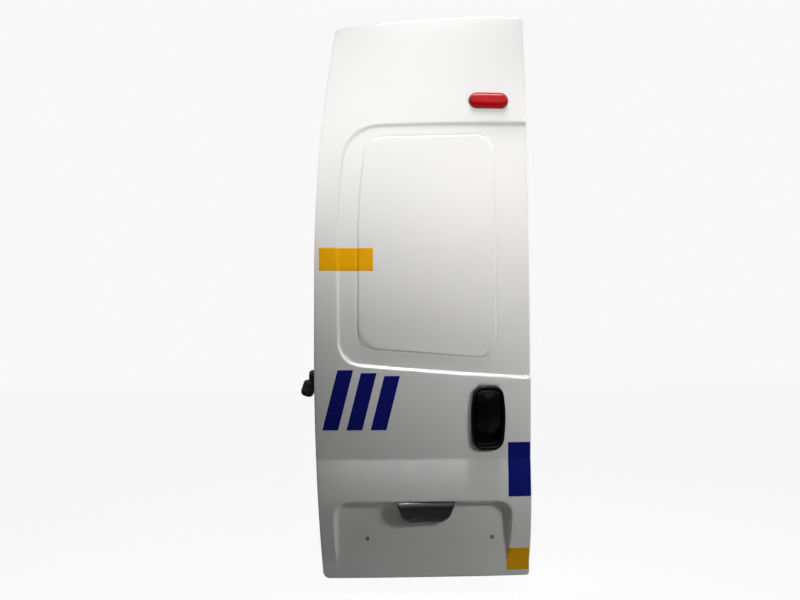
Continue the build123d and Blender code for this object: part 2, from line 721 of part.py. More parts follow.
def hinge_y(z):
    return skin_depth(hinge_edge(z), z) + HINGE_BEHIND_EDGE


def hinge_plane(z):
    """Hinge frame: its z along the leaning axis, its x along the door."""
    lean = (hinge_y(hinge_high()) - hinge_y(HINGE_LOW_Z)) / (hinge_high() - HINGE_LOW_Z)
    return Plane((hinge_x(), hinge_y(z), z), x_dir=(1, 0, 0), z_dir=(0, lean, 1))


def plate_box(x_low, x_high, y_low, y_high, half_height):
    place = Pos((x_low + x_high) / 2, (y_low + y_high) / 2)
    return place * Box(x_high - x_low, y_high - y_low, 2 * half_height)


def bolt_holes(z, back):
    """Pair of bolt holes through a hinge leaf, one above the other."""
    holes = []
    for side in (-1, 1):
        place = Pos(hinge_x(), hinge_y(z) + back, z + side * HINGE_BOLT_SPACING / 2) * Rot(Y=90)
        holes.append(place * Cylinder(HINGE_BOLT_RADIUS, 2 * OVERRUN))
    return holes


def make_pillar_leaf(z):
    """Strap bolted to the body pillar, cranked round the skin's edge to its two outer knuckles."""
    inner = HINGE_STRAP_OFFSET
    outer = inner + HINGE_STRAP_THICKNESS
    half = HINGE_HEIGHT / 2
    arm = HINGE_ARM / 2
    strap = plate_box(inner, outer, HINGE_NOTCH, HINGE_STRAP_LENGTH, half)
    strap = fillet(strap.edges().filter_by(Axis.X).group_by(Axis.Y)[-1], HINGE_CORNER)
    neck = plate_box(inner + HINGE_RELIEF, outer, -arm, HINGE_NOTCH, half)
    leaf = strap + neck + plate_box(0, outer, -arm, arm, half) + Cylinder(HINGE_BARREL_RADIUS, HINGE_HEIGHT)
    gap = HINGE_KNUCKLE / 2 + HINGE_KNUCKLE_GAP
    leaf -= plate_box(-OVERRUN, OVERRUN, -OVERRUN, HINGE_NOTCH, gap)
    leaf -= Cylinder(HINGE_PIN_RADIUS, HINGE_HEIGHT)
    leaf = hinge_plane(z) * leaf
    for hole in bolt_holes(z, PILLAR_BOLT_BACK):
        leaf -= hole
    return leaf


def make_door_leaf(z):
    """Bent leaf on the shut wall, with the middle knuckle."""
    wall = PAN_LEFT - hinge_x()
    half = HINGE_PLATE / 2
    plate = plate_box(wall - HINGE_PLATE, wall, -half, LEAF_DEPTH, HINGE_HEIGHT / 2)
    plate = fillet(plate.edges().filter_by(Axis.X), HINGE_CORNER / 2)
    arm = plate_box(0, wall - half, -half, half, HINGE_KNUCKLE / 2)
    leaf = plate + arm + Cylinder(HINGE_BARREL_RADIUS, HINGE_KNUCKLE)
    leaf -= Cylinder(HINGE_PIN_RADIUS + HINGE_PIN_CLEARANCE, HINGE_HEIGHT)
    leaf = hinge_plane(z) * leaf
    for hole in bolt_holes(z, LEAF_BOLT_BACK):
        leaf -= hole
    return leaf


def make_hinge_pin(z):
    head = Pos(Z=HINGE_HEIGHT / 2 + HINGE_PIN_HEAD / 2) * Cylinder(HINGE_PIN_HEAD_RADIUS, HINGE_PIN_HEAD)
    return hinge_plane(z) * (Cylinder(HINGE_PIN_RADIUS, HINGE_HEIGHT) + head)


# Wiring gaiter

def make_wiring_gaiter():
    """Rubber boot from the shut wall, with a swollen bead and its hanging plug end."""
    inward = skin_depth(PAN_LEFT, GAITER_Z) + GAITER_BEHIND_SKIN
    along = Pos(PAN_LEFT, inward, GAITER_Z) * Rot(Y=-90)
    top = (Align.CENTER, Align.CENTER, Align.MIN)
    boot = along * Cylinder(GAITER_FLANGE_RADIUS, GAITER_FLANGE, align=top)
    boot += along * Cylinder(GAITER_NECK_RADIUS, GAITER_BEAD_REACH - GAITER_ROUND, align=top)
    bead = Cylinder(GAITER_BEAD_RADIUS, GAITER_BEAD_LENGTH)
    bead = fillet(bead.edges(), GAITER_ROUND)
    boot += along * Pos(Z=GAITER_BEAD_REACH - GAITER_BEAD_LENGTH / 2) * bead
    plug = Cylinder(GAITER_PLUG_RADIUS, GAITER_PLUG_LENGTH)
    plug = fillet(plug.edges(), GAITER_ROUND)
    place = Pos(PAN_LEFT - GAITER_PLUG_REACH, inward, GAITER_Z - GAITER_PLUG_DROP) * Rot(Y=GAITER_PLUG_TILT)
    return boot + place * plug


# Inside fittings

def make_trim_panel(back):
    outline = rounded_box(TRIM_LEFT, from_meeting(TRIM_RIGHT_MARGIN), TRIM_BOTTOM, TRIM_TOP, TRIM_CORNER)
    return (back - block(PAN_DEPTH + TRIM_THICKNESS)) & prism(outline)


def seated_case(width, height, depth, corner):
    """Case with a softened rim on a thin fixing plate, reaching below its seat."""
    plate = fillet(Rectangle(width, height).vertices(), corner)
    inner = Rectangle(width - 2 * CASE_MARGIN, height - 2 * CASE_MARGIN)
    cover = extrude(fillet(inner.vertices(), corner - CASE_MARGIN), depth)
    cover = fillet(cover.edges().group_by(Axis.Z)[-1], CASE_EDGE)
    return extrude(Pos(Z=-SEAT) * plate, CASE_PLATE + SEAT) + cover


def make_central_latch(back):
    """Latch case with the striker's mouth open towards the meeting edge."""
    plane = back_plane(from_meeting(LATCH_MARGIN), LATCH_Z)
    case = plane * seated_case(LATCH_WIDTH, LATCH_HEIGHT, LATCH_DEPTH, LATCH_ROUND) & back
    mouth = Pos(LATCH_WIDTH / 2) * SlotOverall(LATCH_MOUTH_DEPTH * 2, LATCH_MOUTH)
    return case - plane * extrude(mouth, 2 * LATCH_DEPTH)


def make_bolt_case(z, direction, back):
    """Case of an upper or lower bolt, the bolt standing out of its end."""
    plane = back_plane(from_meeting(BOLT_CASE_MARGIN), z)
    case = plane * seated_case(BOLT_CASE_WIDTH, BOLT_CASE_HEIGHT, BOLT_CASE_DEPTH, BOLT_CASE_ROUND) & back
    reach = BOLT_CASE_HEIGHT / 2 + BOLT_REACH
    bolt = Pos(0, direction * reach / 2, BOLT_CASE_DEPTH / 2) * Rot(X=90) * Cylinder(BOLT_RADIUS, reach)
    return case + plane * bolt


def release_plane():
    return back_plane(from_meeting(RELEASE_MARGIN), RELEASE_Z).offset(TRIM_THICKNESS)


def make_release_bezel(trim_back):
    """Dished surround of the inside release, seated on the trim panel."""
    outline = fillet(Rectangle(RELEASE_WIDTH, RELEASE_HEIGHT).vertices(), RELEASE_ROUND)
    dish = release_plane() * extrude(Pos(Z=-SEAT) * outline, RELEASE_DEPTH + SEAT) & trim_back
    inside = Rectangle(RELEASE_WIDTH - 2 * RELEASE_WALL, RELEASE_HEIGHT - 2 * RELEASE_WALL)
    inside = fillet(inside.vertices(), RELEASE_ROUND - RELEASE_WALL)
    return dish - release_plane().offset(RELEASE_WALL) * extrude(inside, RELEASE_DEPTH)


def make_release_lever():
    """Finger lever on the floor of the release dish."""
    paddle = extrude(SlotOverall(RELEASE_LEVER_LENGTH, RELEASE_LEVER_WIDTH), RELEASE_DEPTH - RELEASE_WALL)
    return release_plane().offset(RELEASE_WALL) * paddle


def make_buffer(z, back):
    """Rubber buffer that steadies the shut door."""
    bottom = (Align.CENTER, Align.CENTER, Align.MIN)
    cone = Cone(BUFFER_RADIUS, BUFFER_TIP_RADIUS, BUFFER_HEIGHT, align=bottom)
    foot = Pos(Z=-SEAT) * Cylinder(BUFFER_RADIUS, SEAT, align=bottom)
    return back_plane(from_meeting(BUFFER_MARGIN), z) * (cone + foot) & back


def make_parts():
    smooth = block(0)
    back = block(PAN_DEPTH)
    trim_back = block(PAN_DEPTH + TRIM_THICKNESS)
    front = pressed_front(0)
    behind = pressed_front(SKIN_THICKNESS)
    flange_back = pressed_front(SKIN_THICKNESS + PANEL_THICKNESS)
    hem_back = pressed_front(2 * SKIN_THICKNESS + PANEL_THICKNESS)
    return {
        "outer_skin": make_outer_skin(front, behind, flange_back, hem_back),
        "inner_panel": make_inner_panel(behind, flange_back),
        "brake_lamp_gasket": make_brake_gasket(smooth),
        "brake_lamp_lens": make_brake_lens(),
        "brake_lamp_housing": make_brake_housing(),
        "plate_lamp_housing": make_plate_lamp_housing(front),
        "plate_lamp_lens_left": plate_lens(-1),
        "plate_lamp_lens_right": plate_lens(1),
        "handle_bezel": make_handle_bezel(smooth),
        "handle_flap": make_handle_flap(),
        "handle_pin": make_handle_pin(),
        "lower_pillar_leaf": make_pillar_leaf(HINGE_LOW_Z),
        "upper_pillar_leaf": make_pillar_leaf(hinge_high()),
        "lower_door_leaf": make_door_leaf(HINGE_LOW_Z),
        "upper_door_leaf": make_door_leaf(hinge_high()),
        "lower_hinge_pin": make_hinge_pin(HINGE_LOW_Z),
        "upper_hinge_pin": make_hinge_pin(hinge_high()),
        "wiring_gaiter": make_wiring_gaiter(),
        "trim_panel": make_trim_panel(back),
        "central_latch": make_central_latch(back),
        "upper_bolt_case": make_bolt_case(from_top(BOLT_CASE_HIGH_DROP), 1, back),
        "lower_bolt_case": make_bolt_case(BOLT_CASE_LOW_Z, -1, back),
        "release_bezel": make_release_bezel(trim_back),
        "release_lever": make_release_lever(),
        "lower_buffer": make_buffer(BUFFER_LOW_Z, back),
        "upper_buffer": make_buffer(from_top(BUFFER_HIGH_DROP), back),
    }


def main():
    os.makedirs("parts", exist_ok=True)
    origin = (hinge_x() + HINGE_STRAP_OFFSET, hinge_y(HINGE_LOW_Z) + PILLAR_BOLT_BACK, HINGE_LOW_Z)
    to_mount = Pos(*origin).inverse()
    for name, solid in make_parts().items():
        export_step(to_mount * solid, os.path.join("parts", name + ".step"))


main()
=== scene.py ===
from math import cos, pi, radians, sin, tan

import bmesh
import bpy
import numpy as np
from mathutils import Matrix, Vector


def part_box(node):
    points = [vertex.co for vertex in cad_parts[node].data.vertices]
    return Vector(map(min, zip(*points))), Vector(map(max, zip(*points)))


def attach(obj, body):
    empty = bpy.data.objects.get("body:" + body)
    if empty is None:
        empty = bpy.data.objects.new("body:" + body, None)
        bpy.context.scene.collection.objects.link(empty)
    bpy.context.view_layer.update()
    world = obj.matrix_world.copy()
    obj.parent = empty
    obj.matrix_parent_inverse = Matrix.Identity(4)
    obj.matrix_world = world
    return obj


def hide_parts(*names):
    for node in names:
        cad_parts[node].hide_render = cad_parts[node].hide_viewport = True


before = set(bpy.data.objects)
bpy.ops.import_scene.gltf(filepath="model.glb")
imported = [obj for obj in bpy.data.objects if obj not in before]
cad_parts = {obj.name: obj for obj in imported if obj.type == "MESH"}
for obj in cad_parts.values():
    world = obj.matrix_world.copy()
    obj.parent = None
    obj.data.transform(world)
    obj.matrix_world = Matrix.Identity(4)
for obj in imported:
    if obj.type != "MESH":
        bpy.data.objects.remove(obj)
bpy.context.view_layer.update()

MM = 0.001

# Door sizes in millimetres: x from the hinge edge to the meeting edge, y from outside to inside, z up
WIDTH = 726.0
HEIGHT = 1930.0
CROWN_RADIUS = 3600.0
STRAIGHT_LOW, STRAIGHT_HIGH = 760.0, 1000.0
EDGE_LOWER_RADIUS, EDGE_UPPER_RADIUS = 8900.0, 5150.0
CORNER_BOTTOM_HINGE, CORNER_TOP_HINGE = 22.0, 14.0
CORNER_TOP_MEETING, CORNER_BOTTOM_MEETING = 16.0, 12.0
PLAN_RADIUS = 9000.0
BULGE_RADIUS, BULGE_HEIGHT = 800.0, 270.0
UPPER_RADIUS, WAIST_HEIGHT, WAIST_DEPTH = 7000.0, 600.0, 8.0
CREASE_SOFT, BULGE_REACH, SLOPE_STEP = 0.9, 0.8, 1.0
SKIN_THICKNESS = 1.5

# Blind window, its raised pad, the number plate pocket, the rolled edge and the small dent
WINDOW_LEFT = 80.0
WINDOW_LOW, WINDOW_HIGH = (716.0, 665.0), (1526.0, 1548.0)
WINDOW_LOWER_CORNER, WINDOW_UPPER_CORNER = 75.0, 110.0
WINDOW_DEPTH, WINDOW_TAPER = 9.0, 30.0
BOW_START, BOW_STOP, WINDOW_BOW, PAD_BOW = 1100.0, 1560.0, 3500.0, 2600.0
SWAGE_START, SWAGE_RUN = -5.2, 15.6
PAD_LEFT, PAD_RIGHT = 146.0, 610.0
PAD_LOW, PAD_HIGH = (773.0, 737.0), (1484.0, 1500.0)
PAD_CORNER, PAD_RISE, PAD_START, PAD_RUN = 60.0, 3.0, -1.2, 4.2
PAD_GROOVE, PAD_GROOVE_WIDTH, PAD_GROOVE_OUT = 1.3, 2.4, 2.2
PLATE_MIDDLE, PLATE_HALF, PLATE_TOP = 363.0, 286.0, 249.0
PLATE_FLOOR, PLATE_CORNER, PLATE_TAPER = 42.0, 35.0, 22.0
PLATE_FOOT_SOFT, PLATE_RIM_SOFT = 18.0, 3.5
ROLL_WIDTH, ROLL_DEPTH = 7.0, 1.4
DENT_X, DENT_Z, DENT_RADIUS, DENT_WIDTH, DENT_RISE = 588.0, 928.0, 21.0, 4.5, 0.9
DENT_WAY = (-0.6, 0.8)

# Fittings
HANDLE_X, HANDLE_Z = 580.0, 539.0
HANDLE_WIDTH, HANDLE_HEIGHT = 116.0, 218.0
HANDLE_SIDE_RADIUS, HANDLE_END_RADIUS, HANDLE_CORNER = 540.0, 240.0, 27.0
HANDLE_PROUD, HANDLE_CUP = 14.0, 32.0
LAMP_X, LAMP_Z, LAMP_LENGTH, LAMP_HEIGHT = 596.0, 1618.0, 137.0, 56.0
LAMP_RISE, LAMP_GASKET = 17.0, 2.0
BAR_X, BAR_TOP, BAR_BOTTOM = 372.0, 261.0, 191.0
BAR_TOP_WIDTH, BAR_BOTTOM_WIDTH, BAR_LOWER_CORNER, BAR_UPPER_CORNER = 198.0, 148.0, 26.0, 4.0
PAN_LEFT, PAN_DEPTH = 46.0, 58.0
LEAF_PLATE = 4.5
TRIM_THICKNESS = 3.0


# Curved surface of the door

def line_at(ends, x, left=WINDOW_LEFT, right=WIDTH):
    return ends[0] + (ends[1] - ends[0]) * (x - left) / (right - left)


def soft_max(a, b, width):
    near = np.maximum(width - np.abs(a - b), 0) / width
    return np.maximum(a, b) + near * near * width / 4


def soft_min(a, b, width):
    return -soft_max(-a, -b, width)


def rounded(a, b, radius):
    """Distance inside a corner between two edges, rounded to a radius."""
    inside = (a < radius) & (b < radius)
    arc = radius - np.hypot(radius - a, radius - b)
    return np.where(inside, arc, np.minimum(a, b))


def hinge_edge(z):
    run = np.maximum(STRAIGHT_LOW - z, 0)
    rise = np.maximum(z - STRAIGHT_HIGH, 0)
    low = EDGE_LOWER_RADIUS - np.sqrt(EDGE_LOWER_RADIUS ** 2 - run ** 2)
    return low + EDGE_UPPER_RADIUS - np.sqrt(EDGE_UPPER_RADIUS ** 2 - rise ** 2)


def crown(x):
    return HEIGHT - CROWN_RADIUS + np.sqrt(CROWN_RADIUS ** 2 - (WIDTH - x) ** 2)


def plan_slope(x):
    return -(WIDTH - x) / PLAN_RADIUS


def profile(z, inset=0.0):
    """Side profile at the meeting edge, moved inward by the inset: two arcs with a soft crease."""
    reach = BULGE_RADIUS * BULGE_REACH
    low = np.clip(z - BULGE_HEIGHT, -reach, reach)
    bulge = BULGE_RADIUS - np.sqrt((BULGE_RADIUS - inset) ** 2 - low ** 2)
    rise = z - WAIST_HEIGHT
    upper = WAIST_DEPTH + UPPER_RADIUS - np.sqrt((UPPER_RADIUS - inset) ** 2 - rise ** 2)
    return soft_min(bulge, upper, CREASE_SOFT)


def smooth_depth(x, z, inset=0.0):
    radius = PLAN_RADIUS - profile(z, inset)
    return PLAN_RADIUS - np.sqrt(radius ** 2 - (WIDTH - x) ** 2)


def surface_point(x, z, inset=0.0):
    return np.array([x, float(smooth_depth(np.array(x), np.array(z), inset)), z])


def surface_axes(x, z):
    """Sideways, upward and outward unit directions of the skin at a place."""
    half = SLOPE_STEP / 2
    slope = float(profile(np.array(z + half)) - profile(np.array(z - half))) / SLOPE_STEP
    across = np.array([1, plan_slope(x), 0])
    out = np.array([plan_slope(x), -1, slope])
    across = across / np.linalg.norm(across)
    out = out / np.linalg.norm(out)
    return across, np.cross(out, across), out


def step(distance, start, run, height):
    """Soft step of two equal arcs, from nothing to the height over the run."""
    along = np.clip((distance - start) / run, 0, 1)
    radius = run ** 2 / (4 * height) + height / 4
    first = np.minimum(along, 1 - along) * run
    arc = radius - np.sqrt(np.maximum(radius ** 2 - first ** 2, 0))
    return np.where(along < 0.5, arc, height - arc)


WINDOW_X, WINDOW_Z = (WINDOW_LEFT + WIDTH) / 2, (WINDOW_LOW[0] + WINDOW_HIGH[0]) / 2
WINDOW_AXES = surface_axes(WINDOW_X, WINDOW_Z)
window_touch = surface_point(WINDOW_X, WINDOW_Z)
window_wall = surface_point(WINDOW_X, sum(WINDOW_LOW) / 2)
WINDOW_ORIGIN = window_touch + WINDOW_AXES[2] * np.dot(window_wall - window_touch, WINDOW_AXES[2])


def edge_bow(z, radius):
    """How far a left-hand pressing edge curves away from the hinge side at a height."""
    return (np.clip(z, BOW_START, BOW_STOP) - BOW_START) ** 2 / (2 * radius)


def window_inside(x, z):
    """Distance inside the window's walls, which lean out from the plane they are drawn on."""
    place = np.stack([x, smooth_depth(x, z), z], -1) - WINDOW_ORIGIN
    u = place @ WINDOW_AXES[0] + WINDOW_ORIGIN[0]
    v = place @ WINDOW_AXES[1] + WINDOW_ORIGIN[2]
    left = u - WINDOW_LEFT - edge_bow(v, WINDOW_BOW)
    low = rounded(left, v - line_at(WINDOW_LOW, u), WINDOW_LOWER_CORNER)
    high = rounded(left, line_at(WINDOW_HIGH, u) - v, WINDOW_UPPER_CORNER)
    return np.minimum(low, high) + tan(radians(WINDOW_TAPER)) * (place @ WINDOW_AXES[2])


def pad_inside(x, z):
    across = np.minimum(x - PAD_LEFT - edge_bow(z, PAD_BOW), PAD_RIGHT - x)
    low = z - line_at(PAD_LOW, x, PAD_LEFT, PAD_RIGHT)
    high = line_at(PAD_HIGH, x, PAD_LEFT, PAD_RIGHT) - z
    return rounded(across, np.minimum(low, high), PAD_CORNER)


def pocket_depth(x, z):
    """Depth of the plate pocket's floor and walls."""
    floor = PLATE_FLOOR + plan_slope(PLATE_MIDDLE) * (x - PLATE_MIDDLE)
    across = np.abs(x - PLATE_MIDDLE) - PLATE_HALF
    outside = -rounded(-across, PLATE_TOP - z, PLATE_CORNER)
    wall = outside / tan(radians(PLATE_TAPER))
    return floor - soft_max(wall, np.zeros_like(wall), PLATE_FOOT_SOFT)


def edge_inside(x, z):
    """Distance inside the door's outline, with its corners rounded."""
    left, right = x - hinge_edge(z), WIDTH - x
    top, bottom = crown(x) - z, z
    distance = rounded(left, bottom, CORNER_BOTTOM_HINGE)
    distance = np.minimum(distance, rounded(left, top, CORNER_TOP_HINGE))
    distance = np.minimum(distance, rounded(right, top, CORNER_TOP_MEETING))
    return np.minimum(distance, rounded(right, bottom, CORNER_BOTTOM_MEETING))


def skin_depth(x, z):
    """Depth of the pressed and slightly dented outer face."""
    depth = smooth_depth(x, z)
    depth = depth + step(window_inside(x, z), SWAGE_START, SWAGE_RUN, WINDOW_DEPTH)
    pad = pad_inside(x, z)
    depth = depth - step(pad, PAD_START, PAD_RUN, PAD_RISE)
    depth = depth + PAD_GROOVE * np.exp(-((pad + PAD_GROOVE_OUT) / PAD_GROOVE_WIDTH) ** 2)
    depth = soft_max(depth, pocket_depth(x, z), PLATE_RIM_SOFT)
    rolled = np.clip(1 - edge_inside(x, z) / ROLL_WIDTH, 0, 1)
    depth = depth + ROLL_DEPTH * rolled ** 2
    ring = np.hypot(x - DENT_X, z - DENT_Z) - DENT_RADIUS
    facing = ((x - DENT_X) * DENT_WAY[0] + (z - DENT_Z) * DENT_WAY[1]) / DENT_RADIUS
    return depth - DENT_RISE * np.exp(-(ring / DENT_WIDTH) ** 2) * np.clip(facing, 0, 1) ** 2


# Outlines of the fittings on the skin, as distances inside them

def slot_inside(x, z):
    half = (LAMP_LENGTH - LAMP_HEIGHT) / 2
    return LAMP_HEIGHT / 2 - np.hypot(np.maximum(np.abs(x) - half, 0), z)


def disc_inside(x, z, centre_x, centre_z, radius):
    return radius - np.hypot(x - centre_x, z - centre_z)


def meet_round(a, b, radius):
    """Both distances at once, with the corner between them rounded."""
    deep = np.minimum(a, b)
    arc = radius - np.hypot(np.maximum(radius - a, 0), np.maximum(radius - b, 0))
    return np.where(deep > radius, deep, arc)


def handle_inside(x, z):
    side = HANDLE_WIDTH / 2 - HANDLE_SIDE_RADIUS
    end = HANDLE_HEIGHT / 2 - HANDLE_END_RADIUS
    across = np.minimum(disc_inside(x, z, side, 0, HANDLE_SIDE_RADIUS),
                        disc_inside(x, z, -side, 0, HANDLE_SIDE_RADIUS))
    along = np.minimum(disc_inside(x, z, 0, end, HANDLE_END_RADIUS),
                       disc_inside(x, z, 0, -end, HANDLE_END_RADIUS))
    return meet_round(across, along, HANDLE_CORNER)


def bar_inside(x, z):
    """Plate lamp bar about its own middle: leaning ends, well rounded below."""
    lean = (BAR_TOP_WIDTH - BAR_BOTTOM_WIDTH) / 2 / (BAR_TOP - BAR_BOTTOM)
    half = (BAR_TOP_WIDTH + BAR_BOTTOM_WIDTH) / 4
    side = (half + lean * z - np.abs(x)) / np.hypot(1, lean)
    reach = (BAR_TOP - BAR_BOTTOM) / 2
    lower = meet_round(side, reach + z, BAR_LOWER_CORNER)
    return meet_round(lower, reach - z, BAR_UPPER_CORNER)


# Places in the frame

handle_face = surface_point(HANDLE_X, HANDLE_Z)[1] - HANDLE_PROUD
skin_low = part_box("outer_skin")[0]
DOOR_ZERO = np.array([skin_low.x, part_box("handle_bezel")[0].y - handle_face * MM, skin_low.z])


def to_frame(points):
    """Door points in millimetres as places in the frame, in metres."""
    return DOOR_ZERO + np.asarray(points, float) * MM


# Mesh building

OUTLINE_HALVINGS, TURNED_SIDES, NEARLY_UPRIGHT = 40, 36, 0.5


def add_mesh(name, points, faces, material, body, slot):
    mesh = bpy.data.meshes.new(name)
    corners = [tuple(int(i) for i in face) for face in faces]
    mesh.from_pydata([tuple(p) for p in to_frame(points)], [], corners)
    mesh.validate()
    for polygon in mesh.polygons:
        polygon.use_smooth = True
    mesh.materials.append(material)
    piece = bpy.data.objects.new(name, mesh)
    bpy.context.scene.collection.objects.link(piece)
    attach(piece, body)
    return piece


def face_out(piece):
    """Turn a closed piece's faces outward."""
    work = bmesh.new()
    work.from_mesh(piece.data)
    bmesh.ops.recalc_face_normals(work, faces=work.faces)
    work.to_mesh(piece.data)
    work.free()
    return piece


def grid_faces(rows, columns):
    start = np.arange(rows - 1)[:, None] * columns + np.arange(columns - 1)[None, :]
    start = start.ravel()
    return np.stack([start, start + 1, start + columns + 1, start + columns], 1)


def graded(*runs):
    """Places from runs of (start, stop, step), each run divided evenly."""
    places = []
    for start, stop, size in runs:
        count = max(int(round((stop - start) / size)), 1)
        places.extend(start + (stop - start) * i / count for i in range(count))
    places.append(runs[-1][1])
    return np.array(places)


def loft(loops, close_start=True, close_end=True):
    """Faces between closed loops of equal count, with the ends closed to a middle point."""
    count = len(loops[0])
    points = [p for loop in loops for p in loop]
    faces = []
    for ring in range(len(loops) - 1):
        for i in range(count):
            j = (i + 1) % count
            this, above = ring * count, (ring + 1) * count
            faces.append((this + i, this + j, above + j, above + i))
    last = (len(loops) - 1) * count
    for closed, first, loop in ((close_start, 0, loops[0]), (close_end, last, loops[-1])):
        if closed:
            middle = len(points)
            points.append(np.mean(loop, axis=0))
            faces.extend((first + i, first + (i + 1) % count, middle) for i in range(count))
    return np.array(points), faces


def join_lofts(parts):
    """Several lofts as one list of points and faces."""
    points, faces = [], []
    for part_points, part_faces in parts:
        start = len(points)
        points.extend(part_points)
        faces.extend(tuple(start + i for i in face) for face in part_faces)
    return np.array(points), faces


def outline(inside, middle, inset, count, reach):
    """Closed outline where an inside-distance equals the inset, along rays from the middle."""
    angles = np.arange(count) * 2 * pi / count
    ways = np.stack([np.cos(angles), np.sin(angles)], 1)
    low, high = np.zeros(count), np.full(count, reach)
    for _ in range(OUTLINE_HALVINGS):
        half = (low + high) / 2
        place = np.asarray(middle) + ways * half[:, None]
        within = inside(place[:, 0], place[:, 1]) > inset
        low, high = np.where(within, half, low), np.where(within, high, half)
    return np.asarray(middle) + ways * low[:, None]


def turned(start, way, section):
    """Loft of rings along a way: each ring has a distance, a radius and whether it is six-sided."""
    way = np.asarray(way, float) / np.linalg.norm(way)
    side = np.cross(way, (0.0, 0.0, 1.0))
    if np.linalg.norm(side) < NEARLY_UPRIGHT:
        side = np.cross(way, (0.0, 1.0, 0.0))
    side = side / np.linalg.norm(side)
    other = np.cross(side, way)
    angles = np.arange(TURNED_SIDES) * 2 * pi / TURNED_SIDES
    six = cos(pi / 6) / np.cos((angles % (pi / 3)) - pi / 6)
    loops = []
    for distance, radius, hexagon in section:
        reach = radius * (six if hexagon else np.ones(TURNED_SIDES))
        ring = reach[:, None] * (np.cos(angles)[:, None] * side + np.sin(angles)[:, None] * other)
        loops.append(np.asarray(start) + way * distance + ring)
    return loft(loops)


# Materials

COAT_ROUGHNESS, BUMP_DISTANCE = 0.06, 0.0004
NOISE_DETAIL, NOISE_ROUGHNESS, NOISE_LOW, NOISE_HIGH = 4.0, 0.6, 0.3, 0.7
SMEAR_SCALE, SMEAR_DETAIL, GRAIN_DETAIL = 2.3, 6.0, 2.0
MIX_FIRST, MIX_SECOND, MIX_RESULT = 6, 7, 2


def new_material(name, colour, roughness, metallic=0.0, coat=0.0, specular=0.5):
    material = bpy.data.materials.new(name)
    material.use_nodes = True
    shader = material.node_tree.nodes["Principled BSDF"]
    shader.inputs["Base Color"].default_value = (*colour, 1)
    shader.inputs["Roughness"].default_value = roughness
    shader.inputs["Metallic"].default_value = metallic
    shader.inputs["Specular IOR Level"].default_value = specular
    shader.inputs["Coat Weight"].default_value = coat
    shader.inputs["Coat Roughness"].default_value = COAT_ROUGHNESS
    return material, material.node_tree, shader


def node(tree, kind, **inputs):
    made = tree.nodes.new(kind)
    for name, value in inputs.items():
        made.inputs[name.replace("_", " ")].default_value = value
    return made


def noise(tree, scale, detail=NOISE_DETAIL, roughness=NOISE_ROUGHNESS, stretch=None):
    """Noise value over the piece's own place in the frame."""
    place = tree.nodes.new("ShaderNodeTexCoord")
    made = node(tree, "ShaderNodeTexNoise", Scale=scale, Detail=detail, Roughness=roughness)
    source = place.outputs["Object"]
    if stretch:
        mapping = node(tree, "ShaderNodeMapping", Scale=stretch)
        tree.links.new(source, mapping.inputs["Vector"])
        source = mapping.outputs["Vector"]
    tree.links.new(source, made.inputs["Vector"])
    return made.outputs["Fac"]


def spread(tree, value, low, high, start=NOISE_LOW, stop=NOISE_HIGH):
    """Value between start and stop as a value between low and high, held at the ends."""
    made = node(tree, "ShaderNodeMapRange", From_Min=start, From_Max=stop, To_Min=low, To_Max=high)
    tree.links.new(value, made.inputs["Value"])
    return made.outputs["Result"]


def blend_colour(tree, factor, first, second):
    made = tree.nodes.new("ShaderNodeMix")
    made.data_type = "RGBA"
    tree.links.new(factor, made.inputs["Factor"])
    for socket, colour in ((made.inputs[MIX_FIRST], first), (made.inputs[MIX_SECOND], second)):
        if isinstance(colour, tuple):
            socket.default_value = (*colour, 1)
        else:
            tree.links.new(colour, socket)
    return made.outputs[MIX_RESULT]


def multiply(tree, first, second):
    made = tree.nodes.new("ShaderNodeMath")
    made.operation = "MULTIPLY"
    tree.links.new(first, made.inputs[0])
    tree.links.new(second, made.inputs[1])
    return made.outputs[0]


def bump(tree, shader, height, strength):
    made = node(tree, "ShaderNodeBump", Strength=strength, Distance=BUMP_DISTANCE)
    tree.links.new(height, made.inputs["Height"])
    tree.links.new(made.outputs["Normal"], shader.inputs["Normal"])


def axis_value(tree, axis):
    """A coordinate of the piece in the frame, in metres."""
    place = tree.nodes.new("ShaderNodeTexCoord")
    split = tree.nodes.new("ShaderNodeSeparateXYZ")
    tree.links.new(place.outputs["Object"], split.inputs[0])
    return split.outputs[axis]


def mottled(name, dark, light, rough, scale, grain_scale, grain, **shine):
    """Material with uneven colour, uneven gloss and a fine surface grain."""
    material, tree, shader = new_material(name, light, rough[0], **shine)
    cloud = noise(tree, scale)
    colour = blend_colour(tree, spread(tree, cloud, 0.0, 1.0), dark, light)
    tree.links.new(colour, shader.inputs["Base Color"])
    smear = noise(tree, scale * SMEAR_SCALE, detail=SMEAR_DETAIL)
    tree.links.new(spread(tree, smear, *rough), shader.inputs["Roughness"])
    bump(tree, shader, noise(tree, grain_scale, detail=GRAIN_DETAIL), grain)
    return material


# Paint: noise scales, where a noise value turns into a mark, how strong the mark is, and where it ends
PAINT_COAT, PAINT_DULL, PAINT_CLOUD_SCALE = 0.5, 0.985, 3.0
GLOSS_SCALE, GLOSS_DETAIL = 7.0, 6.0
PEEL_SCALE, PEEL_DETAIL, PEEL_STRENGTH = 420.0, 1.0, 0.035
SCUFF_COLOUR, CHIP_COLOUR = (0.45, 0.43, 0.41), (0.2, 0.19, 0.18)
SCUFF_SCALE, SCUFF_DETAIL, SCUFF_ROUGHNESS, SCUFF_STRETCH = 14.0, 8.0, 0.75, (1.0, 1.0, 9.0)
SCUFF_NOISE, SCUFF_STRENGTH, SCUFF_FULL, SCUFF_GONE = (0.69, 0.78), 0.5, 200.0, 300.0
CHIP_SCALE, CHIP_DETAIL, CHIP_NOISE, CHIP_STRENGTH, CHIP_REACH = 160.0, 3.0, (0.64, 0.68), 0.9, 4.0


